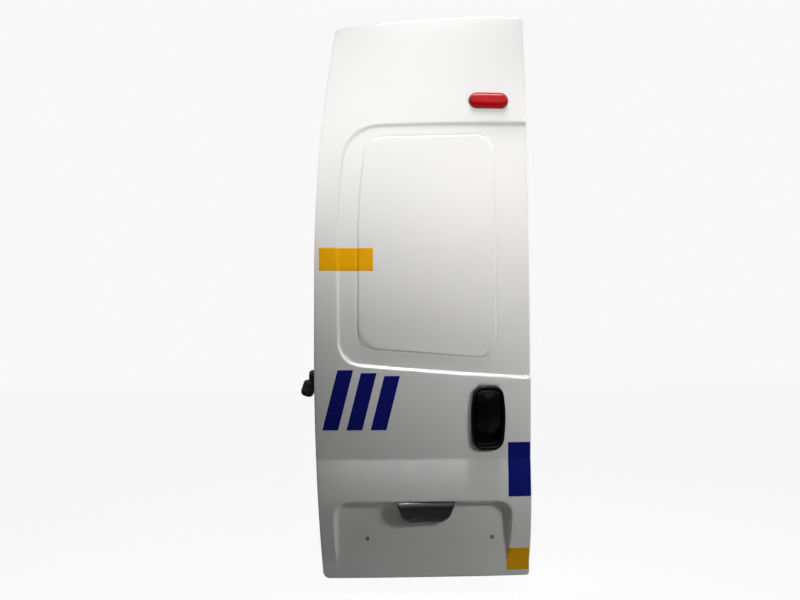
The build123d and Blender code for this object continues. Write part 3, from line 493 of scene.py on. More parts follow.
def make_paint(name, light, rough):
    """White paint: faint unevenness, fine scuffs in the plate pocket and chips on the meeting edge."""
    material, tree, shader = new_material(name, light, rough[0], coat=PAINT_COAT)
    dull = tuple(c * PAINT_DULL for c in light)
    colour = blend_colour(tree, spread(tree, noise(tree, PAINT_CLOUD_SCALE), 0.0, 1.0), dull, light)
    scuff = noise(tree, SCUFF_SCALE, SCUFF_DETAIL, SCUFF_ROUGHNESS, SCUFF_STRETCH)
    marks = spread(tree, scuff, 0.0, SCUFF_STRENGTH, *SCUFF_NOISE)
    heights = [float(to_frame((0, 0, z))[2]) for z in (SCUFF_FULL, SCUFF_GONE)]
    low = spread(tree, axis_value(tree, 2), 1.0, 0.0, *heights)
    colour = blend_colour(tree, multiply(tree, marks, low), colour, SCUFF_COLOUR)
    chip = spread(tree, noise(tree, CHIP_SCALE, CHIP_DETAIL), 0.0, CHIP_STRENGTH, *CHIP_NOISE)
    reaches = [float(to_frame((x, 0, 0))[0]) for x in (WIDTH - CHIP_REACH, WIDTH)]
    edge = spread(tree, axis_value(tree, 0), 0.0, 1.0, *reaches)
    colour = blend_colour(tree, multiply(tree, chip, edge), colour, CHIP_COLOUR)
    tree.links.new(colour, shader.inputs["Base Color"])
    gloss = spread(tree, noise(tree, GLOSS_SCALE, GLOSS_DETAIL), *rough)
    tree.links.new(gloss, shader.inputs["Roughness"])
    bump(tree, shader, noise(tree, PEEL_SCALE, PEEL_DETAIL), PEEL_STRENGTH)
    return material


LENS_COAT, LENS_SPECULAR, LENS_IOR, LENS_DULL = 0.1, 0.25, 1.49, 0.85
LENS_CLOUD_SCALE, LENS_SMEAR_SCALE, LENS_SMEAR = 40.0, 60.0, 1.8


def make_lens(name, colour, transmission, roughness):
    """Moulded lens with slightly uneven tint and gloss."""
    material, tree, shader = new_material(name, colour, roughness, coat=LENS_COAT, specular=LENS_SPECULAR)
    shader.inputs["Transmission Weight"].default_value = transmission
    shader.inputs["IOR"].default_value = LENS_IOR
    dull = tuple(c * LENS_DULL for c in colour)
    shade = blend_colour(tree, spread(tree, noise(tree, LENS_CLOUD_SCALE), 0.0, 1.0), dull, colour)
    tree.links.new(shade, shader.inputs["Base Color"])
    smear = spread(tree, noise(tree, LENS_SMEAR_SCALE), roughness, roughness * LENS_SMEAR)
    tree.links.new(smear, shader.inputs["Roughness"])
    return material


PAINT = make_paint("paint_white", light=(0.8, 0.8, 0.785), rough=(0.32, 0.35))
PAINT_INSIDE = make_paint("paint_inside", light=(0.74, 0.74, 0.72), rough=(0.38, 0.55))
VINYL_YELLOW = mottled("vinyl_yellow", dark=(0.84, 0.4, 0.001), light=(0.92, 0.44, 0.001), rough=(0.4, 0.5),
                       scale=9.0, grain_scale=700.0, grain=0.05, specular=0.12)
VINYL_NAVY = mottled("vinyl_navy", dark=(0.005, 0.008, 0.16), light=(0.007, 0.011, 0.19), rough=(0.4, 0.5),
                     scale=9.0, grain_scale=700.0, grain=0.05, specular=0.12)
PLASTIC_GLOSS = mottled("plastic_gloss_black", dark=(0.0015, 0.0015, 0.0015), light=(0.003, 0.003, 0.003),
                        rough=(0.16, 0.24), scale=22.0, grain_scale=900.0, grain=0.04, specular=0.25)
PLASTIC_SATIN = mottled("plastic_satin_black", dark=(0.034, 0.033, 0.033), light=(0.046, 0.045, 0.045),
                        rough=(0.44, 0.56), scale=30.0, grain_scale=1500.0, grain=0.12, specular=0.15)
PLASTIC_BAR = mottled("plastic_bar_black", dark=(0.004, 0.004, 0.005), light=(0.006, 0.006, 0.007),
                      rough=(0.26, 0.34), scale=30.0, grain_scale=1500.0, grain=0.06, specular=0.9)
PLASTIC_GRAIN = mottled("plastic_grain_black", dark=(0.012, 0.012, 0.013), light=(0.022, 0.022, 0.023),
                        rough=(0.42, 0.58), scale=30.0, grain_scale=1500.0, grain=0.25)
RUBBER = mottled("rubber_black", dark=(0.006, 0.006, 0.006), light=(0.015, 0.015, 0.015), rough=(0.62, 0.82),
                 scale=26.0, grain_scale=800.0, grain=0.3, specular=0.3)
ZINC = mottled("zinc_steel", dark=(0.42, 0.41, 0.38), light=(0.6, 0.6, 0.6), rough=(0.28, 0.46),
               scale=40.0, grain_scale=600.0, grain=0.12, metallic=1.0)
PIN_STEEL = mottled("pin_black", dark=(0.006, 0.006, 0.006), light=(0.012, 0.012, 0.012), rough=(0.4, 0.55),
                    scale=40.0, grain_scale=600.0, grain=0.12)
LATCH_STEEL = mottled("latch_steel", dark=(0.3, 0.27, 0.2), light=(0.5, 0.48, 0.42), rough=(0.3, 0.5),
                      scale=34.0, grain_scale=500.0, grain=0.15, metallic=1.0)
HINGE_PAINT = mottled("hinge_paint", dark=(0.66, 0.66, 0.64), light=(0.76, 0.76, 0.75), rough=(0.35, 0.5),
                      scale=30.0, grain_scale=420.0, grain=0.08, coat=0.3)
TRIM_BOARD = mottled("trim_board", dark=(0.11, 0.112, 0.118), light=(0.155, 0.157, 0.163), rough=(0.6, 0.78),
                     scale=24.0, grain_scale=1100.0, grain=0.45)
LENS_RED = make_lens("lens_red", colour=(0.56, 0.002, 0.006), transmission=0.2, roughness=0.1)
LENS_CLEAR = make_lens("lens_clear", colour=(0.85, 0.86, 0.86), transmission=0.85, roughness=0.08)

NODE_MATERIALS = {
    "inner_panel": PAINT_INSIDE, "brake_lamp_gasket": RUBBER, "brake_lamp_housing": PLASTIC_GRAIN,
    "plate_lamp_housing": PLASTIC_BAR, "plate_lamp_lens_left": LENS_CLEAR,
    "plate_lamp_lens_right": LENS_CLEAR,
    "handle_bezel": PLASTIC_GLOSS, "handle_flap": PLASTIC_GLOSS, "handle_pin": PIN_STEEL,
    "lower_pillar_leaf": HINGE_PAINT, "upper_pillar_leaf": HINGE_PAINT, "lower_door_leaf": HINGE_PAINT,
    "upper_door_leaf": HINGE_PAINT, "lower_hinge_pin": ZINC, "upper_hinge_pin": ZINC, "wiring_gaiter": RUBBER,
    "trim_panel": TRIM_BOARD, "central_latch": LATCH_STEEL, "upper_bolt_case": LATCH_STEEL,
    "lower_bolt_case": LATCH_STEEL, "release_bezel": PLASTIC_GRAIN, "release_lever": PLASTIC_SATIN,
    "lower_buffer": RUBBER, "upper_buffer": RUBBER, "outer_skin": PAINT, "brake_lamp_lens": LENS_RED,
}
for node_name, node_material in NODE_MATERIALS.items():
    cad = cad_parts[node_name]
    cad.data.materials.clear()
    cad.data.materials.append(node_material)


# Outer skin

SWAGE_BAND, PAD_BAND, EDGE_BAND = 20.0, 5.0, 24.0
POCKET_ROWS, CREASE_ROWS, BELOW_SWAGE = (205.0, 285.0), (385.0, 417.0), 630.0
DENT_ROWS, LAMP_ROWS = (900.0, 960.0), (1586.0, 1650.0)
ROW_COUNTS = (8, 20, 30, 11, 13, 42, 2, 22, 5, 7, 12, 15, 52, 7, 4, 22, 3, 12, 20, 8)


def level(z):
    return lambda x: 0 * x + z


def beside(ends, shift, left=WINDOW_LEFT, right=WIDTH):
    return lambda x: line_at(ends, x, left, right) + shift


def skin_rows():
    """Row heights as guide lines across the door: each row is a pair of guides and a share between them."""
    pad = (PAD_LEFT, PAD_RIGHT)
    guides = [level(z) for z in (0, EDGE_BAND, *POCKET_ROWS, *CREASE_ROWS, BELOW_SWAGE)]
    guides += [beside(WINDOW_LOW, shift) for shift in (-SWAGE_BAND, SWAGE_BAND)]
    guides += [beside(PAD_LOW, shift, *pad) for shift in (-PAD_BAND, PAD_BAND)]
    guides += [level(z) for z in DENT_ROWS]
    guides += [beside(PAD_HIGH, shift, *pad) for shift in (-PAD_BAND, PAD_BAND)]
    guides += [beside(WINDOW_HIGH, shift) for shift in (-SWAGE_BAND, SWAGE_BAND)]
    guides += [level(z) for z in LAMP_ROWS]
    guides += [lambda x: crown(x) - EDGE_BAND, crown]
    rows = []
    for k, count in enumerate(ROW_COUNTS):
        for i in range(count):
            share = i / count
            if k == 0:
                share = 1 - cos(share * pi / 2)
            if k == len(ROW_COUNTS) - 1:
                share = sin(share * pi / 2)
            rows.append((guides[k], guides[k + 1], share))
    rows.append((guides[-2], guides[-1], 1.0))
    return rows


# Columns as start, stop and step, finer at the edges, the window's left swage, the pad's sides and the handle
WINDOW_COLUMNS, PAD_COLUMNS, HANDLE_COLUMN = (62.0, 102.0), (140.0, 152.0), 540.0
COLUMNS = graded((0, 12, 2), (12, WINDOW_COLUMNS[0], 7), (*WINDOW_COLUMNS, 1.9),
                 (WINDOW_COLUMNS[1], PAD_COLUMNS[0], 7), (*PAD_COLUMNS, 1.6),
                 (PAD_COLUMNS[1], HANDLE_COLUMN, 10), (HANDLE_COLUMN, 604, 5), (604, 616, 1.6),
                 (616, 668, 2.2), (668, 714, 7), (714, WIDTH, 2))
BOW_COLUMNS = (0.0, *WINDOW_COLUMNS, *PAD_COLUMNS, HANDLE_COLUMN)
EDGE_FADE, EDGE_FADE_GROWTH, PLACE_ROUNDS = 60.0, 2, 6


def corner_shift(distance, radius):
    """How far a rounded corner draws the outline in, at a distance from the crossing edge."""
    left = np.clip(radius - distance, 0, radius)
    return radius - np.sqrt(radius ** 2 - left ** 2)


def skin_places():
    """Grid of places that follows the outline, the swages, the pad and the bow of their left edges."""
    rows = skin_rows()
    nominal = COLUMNS[None, :]
    by_window = np.interp(nominal, BOW_COLUMNS[:4], (0, 1, 1, 0))
    by_pad = np.interp(nominal, BOW_COLUMNS[2:], (0, 1, 1, 0))
    x = np.repeat(nominal, len(rows), 0)
    for _ in range(PLACE_ROUNDS):
        z = np.stack([low(line) + (high(line) - low(line)) * share
                      for line, (low, high, share) in zip(x, rows)])
        below = crown(x) - z
        left = hinge_edge(z) + corner_shift(z, CORNER_BOTTOM_HINGE) + corner_shift(below, CORNER_TOP_HINGE)
        right = corner_shift(z, CORNER_BOTTOM_MEETING) + corner_shift(below, CORNER_TOP_MEETING)
        fade = np.minimum(EDGE_FADE + EDGE_FADE_GROWTH * np.maximum(z - WINDOW_HIGH[0], 0), WIDTH)
        x = nominal + left * np.maximum(1 - nominal / fade, 0)
        x = x - right * np.maximum((nominal - WIDTH) / EDGE_FADE + 1, 0)
        x = x + edge_bow(z, WINDOW_BOW) * by_window + edge_bow(z, PAD_BOW) * by_pad
    return x, z


HOLE_INSET = 10.5
skin_x, skin_z = skin_places()
skin_points = np.stack([skin_x, skin_depth(skin_x, skin_z), skin_z], 2)
hole_depth = np.maximum(handle_inside(skin_x - HANDLE_X, skin_z - HANDLE_Z),
                        slot_inside(skin_x - LAMP_X, skin_z - LAMP_Z)).ravel()
skin_faces = grid_faces(*skin_x.shape)
skin_faces = skin_faces[hole_depth[skin_faces].max(1) < HOLE_INSET]
skin = add_mesh("skin_panel", skin_points.reshape(-1, 3), skin_faces, PAINT, "door", "body_paint")
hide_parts("outer_skin")
sheet = skin.modifiers.new("sheet", "SOLIDIFY")
sheet.thickness = SKIN_THICKNESS * MM
sheet.offset = -1.0

# Fold of the skin's edge: distance in from the edge and back from the face, round the section
HEM_SECTION = [(0.1, 1.2), (0.0, 2.4), (0.25, 3.6), (1.0, 4.3), (2.0, 4.5), (7.4, 4.5), (8.0, 4.2),
               (8.0, 3.1), (1.6, 3.1), (1.4, 1.3)]
HEM_TURN = 2.0


def hem_loop(inset, back):
    """Loop round the skin's edge, moved in along the surface and back from it."""
    grid = np.stack([skin_x, skin_z], 2)
    loop = np.concatenate([grid[0], grid[1:, -1], grid[-1, -2::-1], grid[-2:0:-1, 0]])
    along = np.roll(loop, -1, 0) - np.roll(loop, 1, 0)
    along = along / np.linalg.norm(along, axis=1)[:, None]
    moved = loop + inset * np.stack([-along[:, 1], along[:, 0]], 1)
    face = loop if inset < HEM_TURN else moved
    return np.stack([moved[:, 0], skin_depth(face[:, 0], face[:, 1]) + back, moved[:, 1]], 1)


hem_loops = [hem_loop(*place) for place in HEM_SECTION]
hem_points, hem_faces = loft(hem_loops + hem_loops[:1], False, False)
face_out(add_mesh("skin_hem", hem_points, hem_faces, PAINT, "door", "body_paint"))


# Vinyl blocks: left, right, bottom, top, and how far the sides lean for each millimetre of height

FILM_LIFT, FILM_THICKNESS, FILM_STEP_X, FILM_STEP_Z = 0.3, 0.2, 2, 3
VINYL_BLOCKS = {
    "vinyl_block_upper": (16, 197, 1030, 1107, 0, VINYL_YELLOW, "yellow_vinyl"),
    "vinyl_block_middle": (648, 724, 276, 456, 0, VINYL_NAVY, "navy_vinyl"),
    "vinyl_block_lower": (649, 724, 21, 98, 0, VINYL_YELLOW, "yellow_vinyl"),
    "vinyl_bar_1": (28, 80, 500, 700, 0.25, VINYL_NAVY, "navy_vinyl"),
    "vinyl_bar_2": (108, 160, 500, 690, 0.25, VINYL_NAVY, "navy_vinyl"),
    "vinyl_bar_3": (188, 240, 500, 680, 0.25, VINYL_NAVY, "navy_vinyl"),
}


def vinyl(name, left, right, bottom, top, lean, material, slot):
    """Thin vinyl block laid on the skin."""
    x, z = np.meshgrid(np.linspace(left, right, int((right - left) / FILM_STEP_X) + 2),
                       np.linspace(bottom, top, int((top - bottom) / FILM_STEP_Z) + 2))
    x = x + lean * (z - bottom)
    points = np.stack([x, skin_depth(x, z) - FILM_LIFT, z], 2).reshape(-1, 3)
    piece = add_mesh(name, points, grid_faces(*x.shape), material, "door", slot)
    film = piece.modifiers.new("film", "SOLIDIFY")
    film.thickness = FILM_THICKNESS * MM
    film.offset = -1.0


for vinyl_name, vinyl_facts in VINYL_BLOCKS.items():
    vinyl(vinyl_name, *vinyl_facts)


# Brake lamp lens: a smooth dome over the slot-shaped outline

LENS_REACH, LENS_STEPS, LENS_SIDES = 24.0, 14, 96
LENS_FOOT_INSET, LENS_FOOT, LENS_WALL, LENS_FULLNESS = 0.8, 1, 2, 2.3


def lamp_loop(inset, height):
    flat = outline(slot_inside, (0, 0), inset, LENS_SIDES, LAMP_LENGTH)
    across, up, out = surface_axes(LAMP_X, LAMP_Z)
    return surface_point(LAMP_X, LAMP_Z) + flat[:, :1] * across + flat[:, 1:] * up + height * out


lens_loops = [lamp_loop(LENS_FOOT_INSET, LAMP_GASKET), lamp_loop(0, LAMP_GASKET + LENS_FOOT)]
for share in np.linspace(0, 1, LENS_STEPS):
    lift = LAMP_RISE * (1 - (1 - share) ** LENS_FULLNESS) ** 0.5
    lens_loops.append(lamp_loop(share * LENS_REACH, LAMP_GASKET + max(lift, LENS_WALL)))
lens = face_out(add_mesh("brake_lens", *loft(lens_loops), LENS_RED, "door", "red_lens"))
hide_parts("brake_lamp_lens")


# Outside handle: surround with its hollow, given as inset and depth behind the rim, and the flap in it

HANDLE_SIDES = 144
CUP_BACK = HANDLE_PROUD + HANDLE_CUP
BEZEL_SECTION = [(12, CUP_BACK), (9.4, CUP_BACK), (9, CUP_BACK - 1), (9, HANDLE_PROUD + 3),
                 (0.6, HANDLE_PROUD + 2.4), (0, HANDLE_PROUD), (0, 7.5), (0.4, 5.2), (1.5, 3.0), (3.2, 1.4),
                 (5.4, 0.5), (7.8, 0.1), (10.2, 0.0), (12.2, 0.4), (13.4, 1.4), (13.9, 3), (13.6, 6), (12, 9),
                 (12, CUP_BACK - 8), (12.8, CUP_BACK - 5), (15, CUP_BACK - 3.2), (19, CUP_BACK - 3),
                 (30, CUP_BACK - 3)]


def handle_loop(inset, depth):
    flat = outline(handle_inside, (0, 0), inset, HANDLE_SIDES, HANDLE_HEIGHT)
    depths = np.full(len(flat), handle_face + depth)
    return np.stack([flat[:, 0] + HANDLE_X, depths, flat[:, 1] + HANDLE_Z], 1)


bezel_points, bezel_faces = loft([handle_loop(*place) for place in BEZEL_SECTION])
bezel = add_mesh("handle_surround", bezel_points, bezel_faces, PLASTIC_GLOSS, "door", "black_plastic")
face_out(bezel)
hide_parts("handle_bezel")

FLAP_INSET, FLAP_LENGTH, FLAP_BOW, FLAP_TIP_CORNER, FLAP_THICKNESS = 16.5, 142.0, 10.0, 26.0, 10.0
FLAP_TOP = HANDLE_HEIGHT / 2 - FLAP_INSET
FLAP_MIDDLE = FLAP_TOP - FLAP_LENGTH / 2
FLAP_TIP_RADIUS = ((HANDLE_WIDTH / 2) ** 2 + FLAP_BOW ** 2) / (2 * FLAP_BOW)
FLAP_CROWN_RADIUS, FLAP_CROWN_RISE, FLAP_CROWN_Z = 420.0, 4.0, 41.5
RIDGE_HALF, RIDGE_SOFT, RIDGE_RISE, RIDGE_TOP, RIDGE_FADE = 14.0, 2.0, 2.8, 78.0, 4.0
SCOOP_X, SCOOP_Z, SCOOP_WIDTH, SCOOP_HEIGHT, SCOOP_SINK = 27.0, -32.0, 8.0, 15.0, 2.2
# Flap from its flat back to its front edge: inset and depth, then inset and sink below the crowned front
FLAP_BACK = [(8, FLAP_THICKNESS), (1, FLAP_THICKNESS), (0, FLAP_THICKNESS - 1)]
FLAP_EDGE = [(0, 3.4), (0.4, 1.7), (1.4, 0.6), (3, 0.1)]
FLAP_STEPS = np.linspace(4.5, 36, 22)


def flap_inside(x, z):
    tip = FLAP_TOP - FLAP_LENGTH + FLAP_TIP_RADIUS
    round_tip = disc_inside(x, z, 0, tip, FLAP_TIP_RADIUS)
    return meet_round(handle_inside(x, z) - FLAP_INSET, round_tip, FLAP_TIP_CORNER)


def flap_front(x, z):
    """Depth of the flap's crowned front with its ridge and the finger scoops beside it."""
    crowned = np.hypot(x, z - FLAP_CROWN_Z) ** 2 / (2 * FLAP_CROWN_RADIUS) - FLAP_CROWN_RISE
    ridge = RIDGE_RISE / (1 + np.exp((np.abs(x) - RIDGE_HALF) / RIDGE_SOFT))
    fade = 1 / (1 + np.exp((z - RIDGE_TOP) / RIDGE_FADE))
    scoop = np.exp(-((np.abs(x) - SCOOP_X) / SCOOP_WIDTH) ** 2 - ((z - SCOOP_Z) / SCOOP_HEIGHT) ** 2)
    return crowned - ridge * fade + SCOOP_SINK * scoop


def flap_loop(inset, sink=0.0, flat_depth=None):
    flat = outline(flap_inside, (0, FLAP_MIDDLE), inset, HANDLE_SIDES, HANDLE_HEIGHT)
    depth = flap_front(flat[:, 0], flat[:, 1]) + sink
    if flat_depth is not None:
        depth = np.full(len(flat), flat_depth)
    return np.stack([flat[:, 0] + HANDLE_X, handle_face + depth, flat[:, 1] + HANDLE_Z], 1)


flap_loops = [flap_loop(inset, flat_depth=depth) for inset, depth in FLAP_BACK]
flap_loops += [flap_loop(*place) for place in FLAP_EDGE] + [flap_loop(inset) for inset in FLAP_STEPS]
flap = face_out(add_mesh("handle_paddle", *loft(flap_loops), PLASTIC_GLOSS, "flap", "black_plastic"))
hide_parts("handle_flap")


# Plate lamp bar: a rounded front that leans back to its foot

BAR_SIDES, BAR_SINK = 160, 0.6
BAR_FRONT_Z = (191.0, 193.0, 197.0, 204.0, 213.0, 224.0, 236.0, 246.0, 253.0, 258.0, 261.0)
BAR_FRONT_Y = (17.0, 14.6, 12.4, 9.4, 6.6, 4.4, 3.2, 3.6, 5.6, 8.6, 12.0)
BAR_EDGE = [(0.0, 6.0), (0.5, 3.7), (1.8, 1.6), (3.8, 0.4), (6.0, 0.0), (9.0, 0.0), (13.0, 0.0), (18.0, 0.0),
            (23.0, 0.0), (28.0, 0.0), (32.0, 0.0)]
bar_middle = (BAR_TOP + BAR_BOTTOM) / 2


def bar_loop(inset, back=None):
    """Loop of the bar's front at an inset, or of its foot sunk into the pocket."""
    flat = outline(bar_inside, (0, 0), inset, BAR_SIDES, BAR_TOP_WIDTH)
    x, z = flat[:, 0] + BAR_X, flat[:, 1] + bar_middle
    foot = skin_depth(x, z) + BAR_SINK
    depth = foot if back is None else np.minimum(np.interp(z, BAR_FRONT_Z, BAR_FRONT_Y) + back, foot)
    return np.stack([x, depth, z], 1)


bar_points, bar_faces = loft([bar_loop(0.0)] + [bar_loop(*place) for place in BAR_EDGE])
bar = face_out(add_mesh("plate_lamp_bar", bar_points, bar_faces, PLASTIC_BAR, "door", "black_plastic"))
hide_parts("plate_lamp_housing")

# Screw inserts of the number plate, in the pocket's floor: distance out from the floor, radius, six-sided

INSERT_PLACES = ((178.0, 133.0), (598.0, 133.0))
INSERT_SECTION = [(-6.0, 4.6, False), (-0.5, 4.6, False), (-0.5, 6.0, False), (0.5, 6.0, False),
                  (0.9, 5.2, False), (0.9, 2.6, False), (-4.0, 2.6, False)]


def floor_point(x, z):
    return np.array([x, float(pocket_depth(np.array(x), np.array(z))), z])


insert_way = (plan_slope(PLATE_MIDDLE), -1, 0)
insert_parts = [turned(floor_point(x, z), insert_way, INSERT_SECTION) for x, z in INSERT_PLACES]
face_out(add_mesh("plate_inserts", *join_lofts(insert_parts), PLASTIC_GLOSS, "door", "black_plastic"))


# Wiring gaiter: a boot out of the shut wall and its hanging plug end, as distance and radius

GAITER_Z, PLUG_REACH, PLUG_DROP, PLUG_LENGTH, PLUG_TILT = 677.0, 64.0, 40.0, 56.0, 18.0
gaiter_low, gaiter_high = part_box("wiring_gaiter")
gaiter_y = ((gaiter_low.y + gaiter_high.y) / 2 - DOOR_ZERO[1]) / MM
BOOT_RIBS, RIB_START, RIB_PITCH = 8, 6.0, 4.0
boot = [(0.0, 20.0), (3.0, 20.0), (4.0, 19.0), (4.4, 15.0)]
for rib in range(BOOT_RIBS):
    boot += [(RIB_START + rib * RIB_PITCH, 14.0), (RIB_START + (rib + 0.5) * RIB_PITCH, 12.6)]
boot += [(38.0, 14.0), (38.6, 16.5), (40.2, 19.6), (43.5, 21.5), (47.0, 22.0), (51.0, 21.6), (55.0, 20.4),
         (59.0, 17.4), (61.8, 13.0), (63.0, 7.0)]
plug = [(0.0, 7.0), (1.0, 12.0), (3.4, 16.8), (7.5, 20.4), (12.0, 21.8), (17.0, 22.0), (19.0, 20.8),
        (21.0, 22.0), (26.0, 22.0), (28.0, 20.8), (30.0, 22.0), (42.0, 21.8), (47.5, 20.2), (52.0, 16.8),
        (55.0, 12.0), (PLUG_LENGTH, 7.0)]
plug_way = np.array([-sin(radians(PLUG_TILT)), 0.0, -cos(radians(PLUG_TILT))])
plug_top = np.array([PAN_LEFT - PLUG_REACH, gaiter_y, GAITER_Z - PLUG_DROP]) - plug_way * PLUG_LENGTH / 2
gaiter_parts = [turned((PAN_LEFT, gaiter_y, GAITER_Z), (-1, 0, 0), [(*place, False) for place in boot]),
                turned(plug_top, plug_way, [(*place, False) for place in plug])]
gaiter = face_out(add_mesh("gaiter_boot", *join_lofts(gaiter_parts), RUBBER, "door", "black_rubber"))
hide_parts("wiring_gaiter")


# Fasteners: share of the height and of the radius, and whether the ring is six-sided

BOLT_SECTION = [(0.0, 1.0, False), (0.4, 1.0, False), (0.75, 0.93, False), (1.0, 0.72, False),
                (1.0, 0.5, True), (0.45, 0.5, True)]
CLIP_SECTION = [(0.0, 1.0, False), (0.25, 1.0, False), (0.6, 0.9, False), (0.9, 0.62, False),
                (1.0, 0.4, False), (0.8, 0.3, False)]
FASTENER_SINK = 0.3


def head(place, way, radius, height, section):
    """Head of a screw, bolt or clip, sunk a little into its seat."""
    sized = [(share * height - FASTENER_SINK, size * radius, six) for share, size, six in section]
    return turned(place, way, sized)


def bolts(name, places, way, radius, height):
    """Row of like bolts or screws on one carrier."""
    parts = [head(place, way, radius, height, BOLT_SECTION) for place in places]
    face_out(add_mesh(name, *join_lofts(parts), ZINC, "door", "zinc_steel"))


def on_back(x, z, shifts, lift):
    """Places on the door's inside about a point, lifted towards the van, and the way they face."""
    across, up, out = surface_axes(x, z)
    start = surface_point(x, z) - out * (PAN_DEPTH + lift)
    return [start + across * u + up * v for u, v in shifts], -out


# Screws on the inside: place across and up, shifts about it, lift off the panel, head radius and height
LATCH_SHIFTS = [(-13, 40), (-13, -40), (14, 40), (14, -40)]
CASE_SHIFTS = [(0, 18), (0, -18)]
RELEASE_SHIFTS = [(-39, 0), (39, 0)]
LATCH_THICKNESS, CASE_THICKNESS, RELEASE_THICKNESS = 22, 18, 3
BACK_SCREWS = {
    "latch_screws": (668, 540, LATCH_SHIFTS, LATCH_THICKNESS, 5.0, 2.6),
    "upper_case_screws": (660, 1830, CASE_SHIFTS, CASE_THICKNESS, 4.5, 2.4),
    "lower_case_screws": (660, 75, CASE_SHIFTS, CASE_THICKNESS, 4.5, 2.4),
    "release_screws": (560, 560, RELEASE_SHIFTS, TRIM_THICKNESS + RELEASE_THICKNESS, 3.2, 1.8),
}
for screw_name, (screw_x, screw_z, shifts, lift, radius, height) in BACK_SCREWS.items():
    bolts(screw_name, *on_back(screw_x, screw_z, shifts, lift), radius, height)

# Clips round the trim board, with none in its middle
CLIP_X, CLIP_Z, CLIP_RADIUS, CLIP_HEIGHT = (104.0, 356.0, 608.0), (104.0, 362.0, 620.0), 9.0, 2.6
clip_parts = []
for clip_x in CLIP_X:
    for clip_z in CLIP_Z:
        if (clip_x, clip_z) != (CLIP_X[1], CLIP_Z[1]):
            clip_place = surface_point(clip_x, clip_z, PAN_DEPTH + TRIM_THICKNESS)
            clip_way = -surface_axes(clip_x, clip_z)[2]
            clip_parts.append(head(clip_place, clip_way, CLIP_RADIUS, CLIP_HEIGHT, CLIP_SECTION))
face_out(add_mesh("trim_clips", *join_lofts(clip_parts), PLASTIC_SATIN, "door", "black_plastic"))

# Bolts of the door leaves on the shut wall
LEAF_BOLT_RADIUS, LEAF_BOLT_HEIGHT, LEAF_BOLT_SPACING, LEAF_BOLT_BACK = 7.5, 2.6, 44.0, 17.0
for hinge in ("lower", "upper"):
    leaf_low, leaf_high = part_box(hinge + "_door_leaf")
    leaf_z = ((leaf_low.z + leaf_high.z) / 2 - DOOR_ZERO[2]) / MM
    pin_low, pin_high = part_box(hinge + "_hinge_pin")
    pin_y = ((pin_low.y + pin_high.y) / 2 - DOOR_ZERO[1]) / MM
    bolt_places = [(PAN_LEFT - LEAF_PLATE, pin_y + LEAF_BOLT_BACK, leaf_z + side * LEAF_BOLT_SPACING / 2)
                   for side in (-1, 1)]
    bolts(hinge + "_leaf_bolts", bolt_places, (-1, 0, 0), LEAF_BOLT_RADIUS, LEAF_BOLT_HEIGHT)


# Camera

CAMERA_PLACE, CAMERA_TURN, CAMERA_LENS, CAMERA_SENSOR = (56.0, -2600.0, 932.6), 5.0, 35.58, 36.0
lens_data = bpy.data.cameras.new("camera")
lens_data.lens = CAMERA_LENS
lens_data.sensor_width = CAMERA_SENSOR
camera = bpy.data.objects.new("camera", lens_data)
camera.location = to_frame(CAMERA_PLACE)
camera.rotation_euler = (pi / 2, 0, -radians(CAMERA_TURN))
bpy.context.scene.collection.objects.link(camera)
bpy.context.scene.camera = camera


# Floor, light and background

def any_ray(tree, path, names):
    """One where the ray is of any of the named kinds."""
    total = path.outputs[names[0]]
    for name in names[1:]:
        both = tree.nodes.new("ShaderNodeMath")
        both.operation = "MAXIMUM"
        tree.links.new(total, both.inputs[0])
        tree.links.new(path.outputs[name], both.inputs[1])
        total = both.outputs[0]
    return total


def mix_shaders(tree, factor, first, second):
    mix = tree.nodes.new("ShaderNodeMixShader")
    tree.links.new(factor, mix.inputs[0])
    tree.links.new(first, mix.inputs[1])
    tree.links.new(second, mix.inputs[2])
    return mix.outputs[0]


WHITE = (1.0, 1.0, 1.0, 1.0)
SEEN_RAYS = ("Is Camera Ray", "Is Transmission Ray")
# World: light on the door, the background as seen, and a glow that reflections see brighten overhead
WORLD_LIGHT, WORLD_SEEN, SHINE_LOW, SHINE_HIGH, SHINE_RANGE = 0.01, 0.94, 0.03, 1.0, (0.0, 0.5)
world = bpy.data.worlds.new("world")
bpy.context.scene.world = world
world.use_nodes = True
sky = world.node_tree
sky.nodes.clear()
sky_light = node(sky, "ShaderNodeBackground", Color=WHITE, Strength=WORLD_LIGHT)
sky_seen = node(sky, "ShaderNodeBackground", Color=WHITE, Strength=WORLD_SEEN)
sky_shine = node(sky, "ShaderNodeBackground", Color=WHITE)
sky_way = sky.nodes.new("ShaderNodeTexCoord")
sky_split = sky.nodes.new("ShaderNodeSeparateXYZ")
sky.links.new(sky_way.outputs["Generated"], sky_split.inputs[0])
sky_rise = spread(sky, sky_split.outputs[2], SHINE_LOW, SHINE_HIGH, *SHINE_RANGE)
sky.links.new(sky_rise, sky_shine.inputs["Strength"])
sky_path = sky.nodes.new("ShaderNodeLightPath")
sky_mix = mix_shaders(sky, sky_path.outputs["Is Glossy Ray"], sky_light.outputs[0], sky_shine.outputs[0])
sky_white = any_ray(sky, sky_path, SEEN_RAYS)
sky_mix = mix_shaders(sky, sky_white, sky_mix, sky_seen.outputs[0])
sky.links.new(sky_mix, sky.nodes.new("ShaderNodeOutputWorld").inputs["Surface"])

